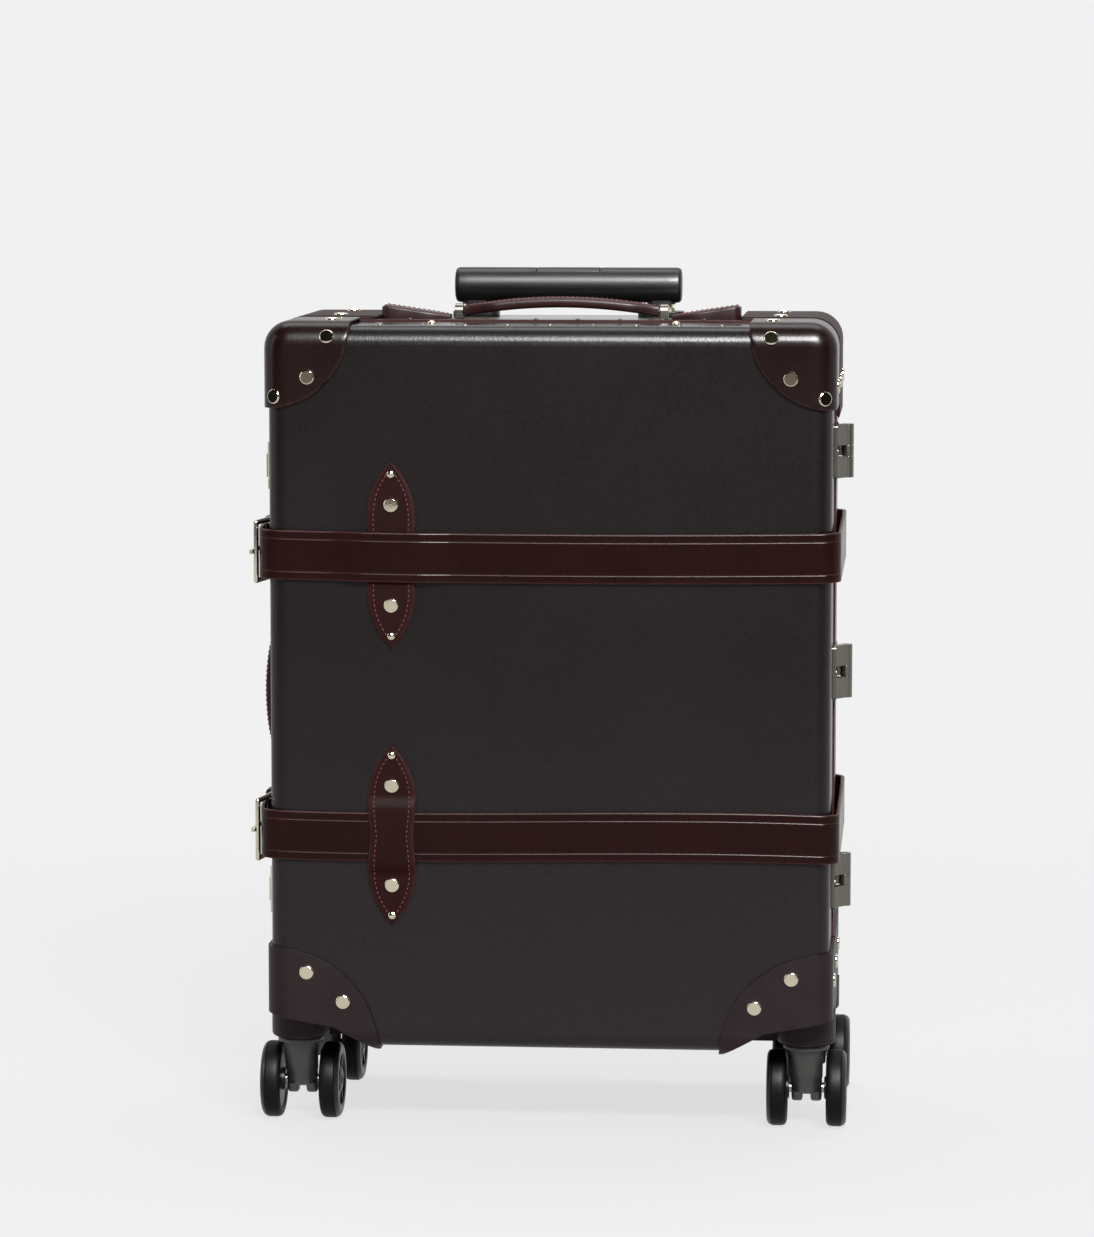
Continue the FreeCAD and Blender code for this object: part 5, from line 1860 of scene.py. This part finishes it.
    def rows(self, half: Half) -> list[Spot]:
        """Small stud rows of a half and the heads on its hinge leaves.

        Args:
            half: lid or base.
        Returns:
            The spots.
        """
        case = self.case
        spots = []
        if half is Half.LID:
            spots += [self.spot((x, case.front + self.row_inset, case.top), (0, 0, 1))
                      for x in self.row(self.row_count)]
        y = half.value * (FACE - self.row_inset)
        spots += [self.spot((x, y, case.bottom), (0, 0, -1)) for x in self.row(self.row_count - 2)]
        y = self.hinge_y + half.value * self.leaf_reach
        for z in self.hinge_heights:
            spots += [self.spot((case.half_width + self.leaf_thick, y, z + offset), (1, 0, 0))
                      for offset in self.LEAF_OFFSETS[half]]
        return spots


@dataclass
class Hardware:
    """Hinges, locks and buckles."""

    def build(self) -> None:
        """Ease and plate every piece of hardware."""
        # The hinges take the darkened nickel, which paints shade on them.
        for node in ("lid_hinge_leaves", "base_hinge_leaves", "hinge_pins"):
            eased(node, SHADED_NICKEL, 0.3)
        for node in ("lock_bodies", "hasp_mounts", "hasp_upper", "hasp_lower", "buckle_frames", "prong_upper",
                     "prong_lower"):
            eased(node, NICKEL, 0.3)


@dataclass
class Trolley:
    """The pull-out handle: tubes, bezel, wrapped grip and button."""

    CAP: ClassVar[tuple[Pair, ...]] = ((0.0, 0.1), (6.0, 0.12), (9.6, 0.25), (10.9, 0.7), (11.7, 1.5),
                                       (12.1, 2.6))
    SLEEVE_STEPS: ClassVar[int] = 8
    ROUND: ClassVar[int] = 56
    WRAP_ROUND: ClassVar[int] = 44
    WRAP_STEPS: ClassVar[int] = 8

    y: float = 76.0
    z: float = 564.3
    radius: float = 12.25
    inner: float = 12.0
    half: float = 79.0
    seam: float = 26.1
    slot_turn: float = 38.0
    cap: float = 4.0
    bore: float = 9.5
    bore_end: float = 6.0

    def build(self) -> None:
        """Make the grip's sleeves and finish the rest."""
        for node in ("trolley_outer_tubes", "trolley_middle_tubes", "trolley_inner_tubes"):
            paint_node(node, ALUMINIUM)
        for node in ("trolley_bezel", "trolley_bracket"):
            eased(node, BLACK, 0.5)
        eased("grip_core", GRIP, 0.3)
        eased("grip_button", GRIP, 0.6)
        shape = Shape()
        long = self.half - self.seam
        profile = list(self.CAP)
        profile += [(self.radius, along) for along in spread(self.cap, long, self.SLEEVE_STEPS)]
        profile += [(self.bore, long), (self.bore, self.bore_end), (0.0, self.bore_end)]
        for side in Side:
            start = Vector((side.value * self.half, self.y, self.z))
            shape.lathe(profile, Vector((-side.value, 0, 0)), start, self.ROUND, closed=False)
        dress(shape.piece("grip_sleeves_leather", SOFT), "trolley_grip", GRIP, ["grip_sleeves"])
        self.middle()

    def middle(self) -> None:
        """The wrap between the sleeves, left open on top for the button."""
        angles = spread(self.slot_turn, 360 - self.slot_turn, self.WRAP_ROUND)
        wrap = [math.radians(angle) for angle in angles]
        section = [(self.radius, turn) for turn in wrap] + [(self.inner, turn) for turn in reversed(wrap)]
        ring = [(self.y - r * math.sin(turn), self.z + r * math.cos(turn)) for r, turn in section]
        rings = [[Vector((x, *point)) for point in ring]
                 for x in spread(-self.seam, self.seam, self.WRAP_STEPS)]
        shape = Shape()
        shape.loft(rings, [0.0] * len(section))
        dress(shape.piece("grip_middle_leather", SOFT), "trolley_grip", GRIP)


@dataclass
class Casters:
    """Four twin-wheel casters."""

    PLATE: ClassVar[tuple[Pair, ...]] = ((0.0, 55.2), (15.0, 55.2), (15.5, 55.7), (15.5, 58.1), (15.0, 58.6),
                                         (0.0, 58.6))
    # Height, front, rear and half width of the rings of a leg and of a toe.
    LEG: ClassVar[tuple[Ring, ...]] = (
        (56.5, -13.0, 13.0, 11.8), (52.0, -11.9, 14.1, 11.5), (45.0, -10.0, 15.8, 11.1),
        (38.0, -8.2, 17.6, 10.9), (35.0, -7.4, 18.4, 10.9), (34.2, -6.7, 18.6, 10.5),
        (30.0, -4.4, 19.4, 10.4), (24.0, 0.4, 18.2, 10.2), (23.4, 1.6, 17.4, 9.6))
    TOE: ClassVar[tuple[Ring, ...]] = (
        (25.0, -0.2, 18.0, 3.8), (20.5, 3.6, 17.2, 3.8), (18.6, 5.4, 16.6, 3.6), (17.7, 6.8, 15.4, 3.0))
    RING_POINTS: ClassVar[int] = 40
    PLATE_ROUND: ClassVar[int] = 48
    WHEEL_ROUND: ClassVar[int] = 72
    RIBS: ClassVar[int] = 6

    x: float = 172.0
    y: float = 62.0
    trail: float = 11.0
    radius: float = 26.0
    width: float = 13.5
    offset: float = 20.0
    leg_power: float = 2.5
    toe_power: float = 4.0
    toe_x: float = 6.4
    rib_sink: float = 2.0
    rib_radius: float = 12.8

    def build(self, ribs: RibPattern) -> None:
        """Make the tyres, hubs and ribs, and finish forks and axles.

        Args:
            ribs: the rib pattern.
        """
        for end, y in (("front", -self.y), ("rear", self.y)):
            for side in Side:
                place = f"{end}_{side.name.lower()}"
                centre = Vector((side.value * self.x, y + self.trail, self.radius))
                self.wheels(place, centre, ribs)
                self.fork(f"fork_{place}", Vector((side.value * self.x, y, 0)))
                eased(f"axle_{place}", STEEL, 0.3)

    def fork(self, node: str, pivot: Vector) -> None:
        """One moulded fork: bearing plate, barrel-shaped leg and two toes below the axle.

        Args:
            node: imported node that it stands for, also the body that it rides on.
            pivot: foot of its swivel axis on the floor.
        """
        shape = Shape()
        shape.lathe(self.PLATE, Vector((0, 0, 1)), pivot, self.PLATE_ROUND, closed=False)
        parts = [(0.0, self.leg_power, self.LEG)]
        parts += [(self.toe_x * side.value, self.toe_power, self.TOE) for side in Side]
        for x, power, levels in parts:
            shape.loft([self.ring(pivot, x, power, level) for level in levels], [0.0] * self.RING_POINTS)
        dress(shape.piece(f"{node}_moulded", SOFT), node, FORK, [node])

    def ring(self, pivot: Vector, x: float, power: float, level: Ring) -> list[Vector]:
        """A level ring with rounded sides.

        Args:
            pivot: foot of the swivel axis.
            x: middle of the ring from the axis.
            power: 2 for an ellipse, more for a squarer ring.
            level: its height, front, rear and half width.
        Returns:
            Points round the ring.
        """
        z, front, rear, wide = level
        ring = []
        for a in turns(self.RING_POINTS):
            across = math.copysign(abs(math.cos(a)) ** (2 / power), math.cos(a))
            along = math.copysign(abs(math.sin(a)) ** (2 / power), math.sin(a))
            y = (front + rear) / 2 + (rear - front) / 2 * along
            ring.append(pivot + Vector((x + wide * across, y, z)))
        return ring

    def wheels(self, place: str, centre: Vector, ribs: RibPattern) -> None:
        """Both wheels of one caster.

        Args:
            place: the caster's place in node names.
            centre: middle of its axle.
            ribs: the rib pattern.
        """
        half, r = self.width / 2, self.radius
        tyre = [(19.5, -half + 0.6), (r - 3.4, -half), (r - 1.8, -half + 0.5), (r - 0.6, -half + 1.7),
                (r - 0.1, -half + 3.4), (r, -half + 5.0), (r, 2.4), (r - 0.15, 3.3), (r - 0.5, 3.7),
                (19.5, 3.7)]
        hub = [(3.6, -half - 1.4), (7.2, -half - 1.4), (7.6, -half - 1.0), (7.6, -half + 0.8),
               (19.0, -half + 1.2), (19.6, 3.9), (r - 0.7, 3.9), (r - 0.5, 4.3), (r - 1.3, 5.6),
               (r - 3.2, half), (18.6, half), (17.6, half - 0.8), (17.0, half - 2.6), (8.6, half - 2.6),
               (8.0, half - 0.8), (7.0, half - 0.2), (3.6, half - 0.2)]
        rubber, core = Shape(), Shape()
        spots = []
        for side in Side:
            axis = Vector((side.value, 0, 0))
            middle = centre + axis * self.offset
            rubber.lathe(tyre, axis, middle, self.WHEEL_ROUND)
            core.lathe(hub, axis, middle, self.WHEEL_ROUND)
            for a in turns(self.RIBS):
                out = Vector((0, math.cos(a), math.sin(a)))
                spots.append((middle + axis * (half - self.rib_sink) + out * self.rib_radius, out))
        body = f"wheels_{place}"
        dress(rubber.piece(f"tyres_{place}"), body, RUBBER, [body])
        dress(core.piece(f"hubs_{place}"), body, BLACK, [body])
        dress(ribs.place(f"hub_ribs_{place}", spots), body, BLACK)


@dataclass
class Studio:
    """Camera, light, floor and the cards that metal reflects."""

    camera_at: tuple[float, float, float] = (0.2494, -3.1163, 0.674)
    yaw: float = 4.74
    pitch: float = 6.12
    lens: float = 133.55
    sensor: float = 36.0
    far: float = 60.0
    pale: Rgb = (241, 241, 241)
    world_light: float = 0.22
    floor_tone: Rgb = (226, 226, 226)
    floor_rough: float = 0.9
    floor_radius: float = 9000.0
    floor_sides: int = 64
    glow_near: float = 0.80
    glow_start: float = 0.3
    glow_span: float = 1.3

    def build(self) -> None:
        """Set up the whole stage."""
        bpy.context.scene.view_settings.view_transform = "Standard"
        self.place_camera()
        self.world()
        self.floor()
        self.lamp("key_strip", (0.9, -3.3, 2.8), (0, -0.1, 0.4), (2.2, 0.4), 150.0)
        self.lamp("sheen_strip", (0.95, -3.0, 3.1), (0, -0.1, 0.5), (2.2, 1.3), 980.0, sheen=True)
        self.lamp("overhead", (0.0, 0.9, 3.0), (0, 0.0, 0.5), (2.6, 1.2), 45.0)
        self.lamp("left_fill", (-3.2, -0.6, 1.4), (0, 0, 0.3), (0.8, 2.2), 14.0)
        self.card("front_card", (0, -5.0, 1.5), (0, 0, 1.4), (10.0, 4.4), (128, 123, 120))
        self.card("ceiling_card", (0, -2.0, 4.0), (0, -1.9, 0.0), (9.0, 6.0), (24, 23, 23))
        for side in Side:
            self.card(f"{side.name.lower()}_card", (side.value * 3.4, -2.6, 1.4), (0, -1.2, 1.3), (4.2, 2.8),
                      (30, 29, 29))

    def place_camera(self) -> None:
        """Put the camera where the picture was taken from."""
        data = bpy.data.cameras.new("camera")
        data.lens = self.lens
        data.sensor_width = self.sensor
        data.sensor_fit = "AUTO"
        data.clip_end = self.far
        camera = link("camera", data)
        camera.location = self.camera_at
        camera.rotation_euler = (math.radians(90 - self.pitch), 0.0, math.radians(self.yaw))
        bpy.context.scene.camera = camera

    @staticmethod
    def seen(graph: Graph) -> Sock:
        """Rays that show the backdrop to the camera, to metal or through glass.

        Args:
            graph: the node tree that asks.
        Returns:
            1 for such rays, 0 for the rest.
        """
        path = graph.node("ShaderNodeLightPath", out="Is Camera Ray").socket.node.outputs
        rays = (Sock(graph, path[name]) for name in ("Is Camera Ray", "Is Glossy Ray", "Is Transmission Ray"))
        return sum(rays, start=0.0).clamped()

    def world(self) -> None:
        """A pale backdrop for camera and mirror rays, and an even, lower light for the rest."""
        world = bpy.data.worlds.new("studio")
        world.use_nodes = True
        world.node_tree.nodes.clear()
        graph = Graph(world.node_tree)
        seen = self.seen(graph)
        backdrop = graph.node("ShaderNodeBackground", {}, {"Color": linear(self.pale), "Strength": 1.0})
        light = graph.node("ShaderNodeBackground", {},
                           {"Color": (1.0, 1.0, 1.0, 1.0), "Strength": self.world_light})
        mixed = graph.node("ShaderNodeMixShader", {}, {0: seen, 1: light, 2: backdrop})
        graph.node("ShaderNodeOutputWorld", {}, {"Surface": mixed})
        bpy.context.scene.world = world

    def floor(self) -> None:
        """A wide pale floor that keeps the case's shadow."""
        shape = Shape()
        far = self.floor_radius
        rim = [(far * math.cos(a), far * math.sin(a), 0) for a in turns(self.floor_sides)]
        shape.faces.append(tuple(shape.row(rim)))
        floor = shape.piece("floor")
        if floor.data.polygons[0].normal.z < 0:
            floor.data.flip_normals()
        material = bpy.data.materials.new("pale_floor")
        material.use_nodes = True
        nodes = material.node_tree.nodes
        graph = Graph(material.node_tree)
        shader = nodes["Principled BSDF"]
        shader.inputs["Base Color"].default_value = linear(self.floor_tone)
        shader.inputs["Roughness"].default_value = self.floor_rough
        shader.inputs["Specular IOR Level"].default_value = 0.0
        away = graph.node("ShaderNodeVectorMath", {"operation": "LENGTH"}, {0: graph.coords()}, out="Value")
        rise = ((away - self.glow_start) / self.glow_span).clamped()
        share = self.glow_near + (1 - self.glow_near) * rise
        seen = self.seen(graph) * share
        glow = graph.node("ShaderNodeEmission", {}, {"Color": linear(self.pale), "Strength": 1.0})
        mixed = graph.node("ShaderNodeMixShader", {}, {0: seen, 1: Sock(graph, shader.outputs[0]), 2: glow})
        graph.feed(nodes["Material Output"].inputs["Surface"], mixed)
        floor.data.materials.append(material)

    @staticmethod
    def aim(made: bpy.types.Object, place: Sequence[float], target: Sequence[float]) -> None:
        """Place an object and turn its -z side to a target."""
        made.location = place
        made.rotation_euler = (Vector(target) - Vector(place)).to_track_quat("-Z", "Y").to_euler()

    def lamp(self, name: str, place: Sequence[float], target: Sequence[float], size: Pair, power: float,
             sheen: bool = False) -> None:
        """Add a soft box.

        Args:
            name: its name.
            place: where it hangs, in metres.
            target: what it points at.
            size: width and height in metres.
            power: watts.
            sheen: it only shows as a sheen and doesn't light the colours.
        """
        data = bpy.data.lights.new(name, "AREA")
        data.shape = "RECTANGLE"
        data.size, data.size_y = size
        data.energy = power
        made = link(name, data)
        made.visible_diffuse = not sheen
        self.aim(made, place, target)

    def card(self, name: str, place: Sequence[float], target: Sequence[float], size: Pair,
             colour: Rgb) -> None:
        """Add a card that only mirror-like surfaces see, as a photographer's flag.

        Args:
            name: its name.
            place: where it stands, in metres.
            target: what it faces.
            size: width and height in metres.
            colour: its tone.
        """
        mesh = bpy.data.meshes.new(name)
        w, h = size[0] / 2, size[1] / 2
        mesh.from_pydata([(-w, -h, 0), (w, -h, 0), (w, h, 0), (-w, h, 0)], [], [(0, 1, 2, 3)])
        made = link(name, mesh)
        self.aim(made, place, target)
        material = bpy.data.materials.new(name)
        material.use_nodes = True
        graph = Graph(material.node_tree)
        glow = graph.node("ShaderNodeEmission", {}, {"Color": linear(colour), "Strength": 1.0})
        graph.feed(material.node_tree.nodes["Material Output"].inputs["Surface"], glow)
        mesh.materials.append(material)
        made.visible_camera = False
        made.visible_diffuse = False
        made.visible_shadow = False
        made.visible_transmission = False


def main() -> None:
    """Build every sub-assembly in order."""
    logging.basicConfig(level=logging.INFO, format="%(name)s: %(message)s")
    case = CaseBody()
    case.build()
    LeatherCorners(case).build()
    stitches = StitchPattern()
    Straps().build()
    Keepers().build(stitches)
    Handle(Mount.TOP, half=66.5, tab_end=122.5, tab_high=9.8).build(stitches)
    Handle(Mount.SIDE, half=46.0, tab_end=65.5, tab_high=6.4).build(stitches)
    Rivets(case).build(HeadPattern())
    Hardware().build()
    Trolley().build()
    Casters().build(RibPattern())
    Studio().build()


if __name__ == "__main__":
    main()
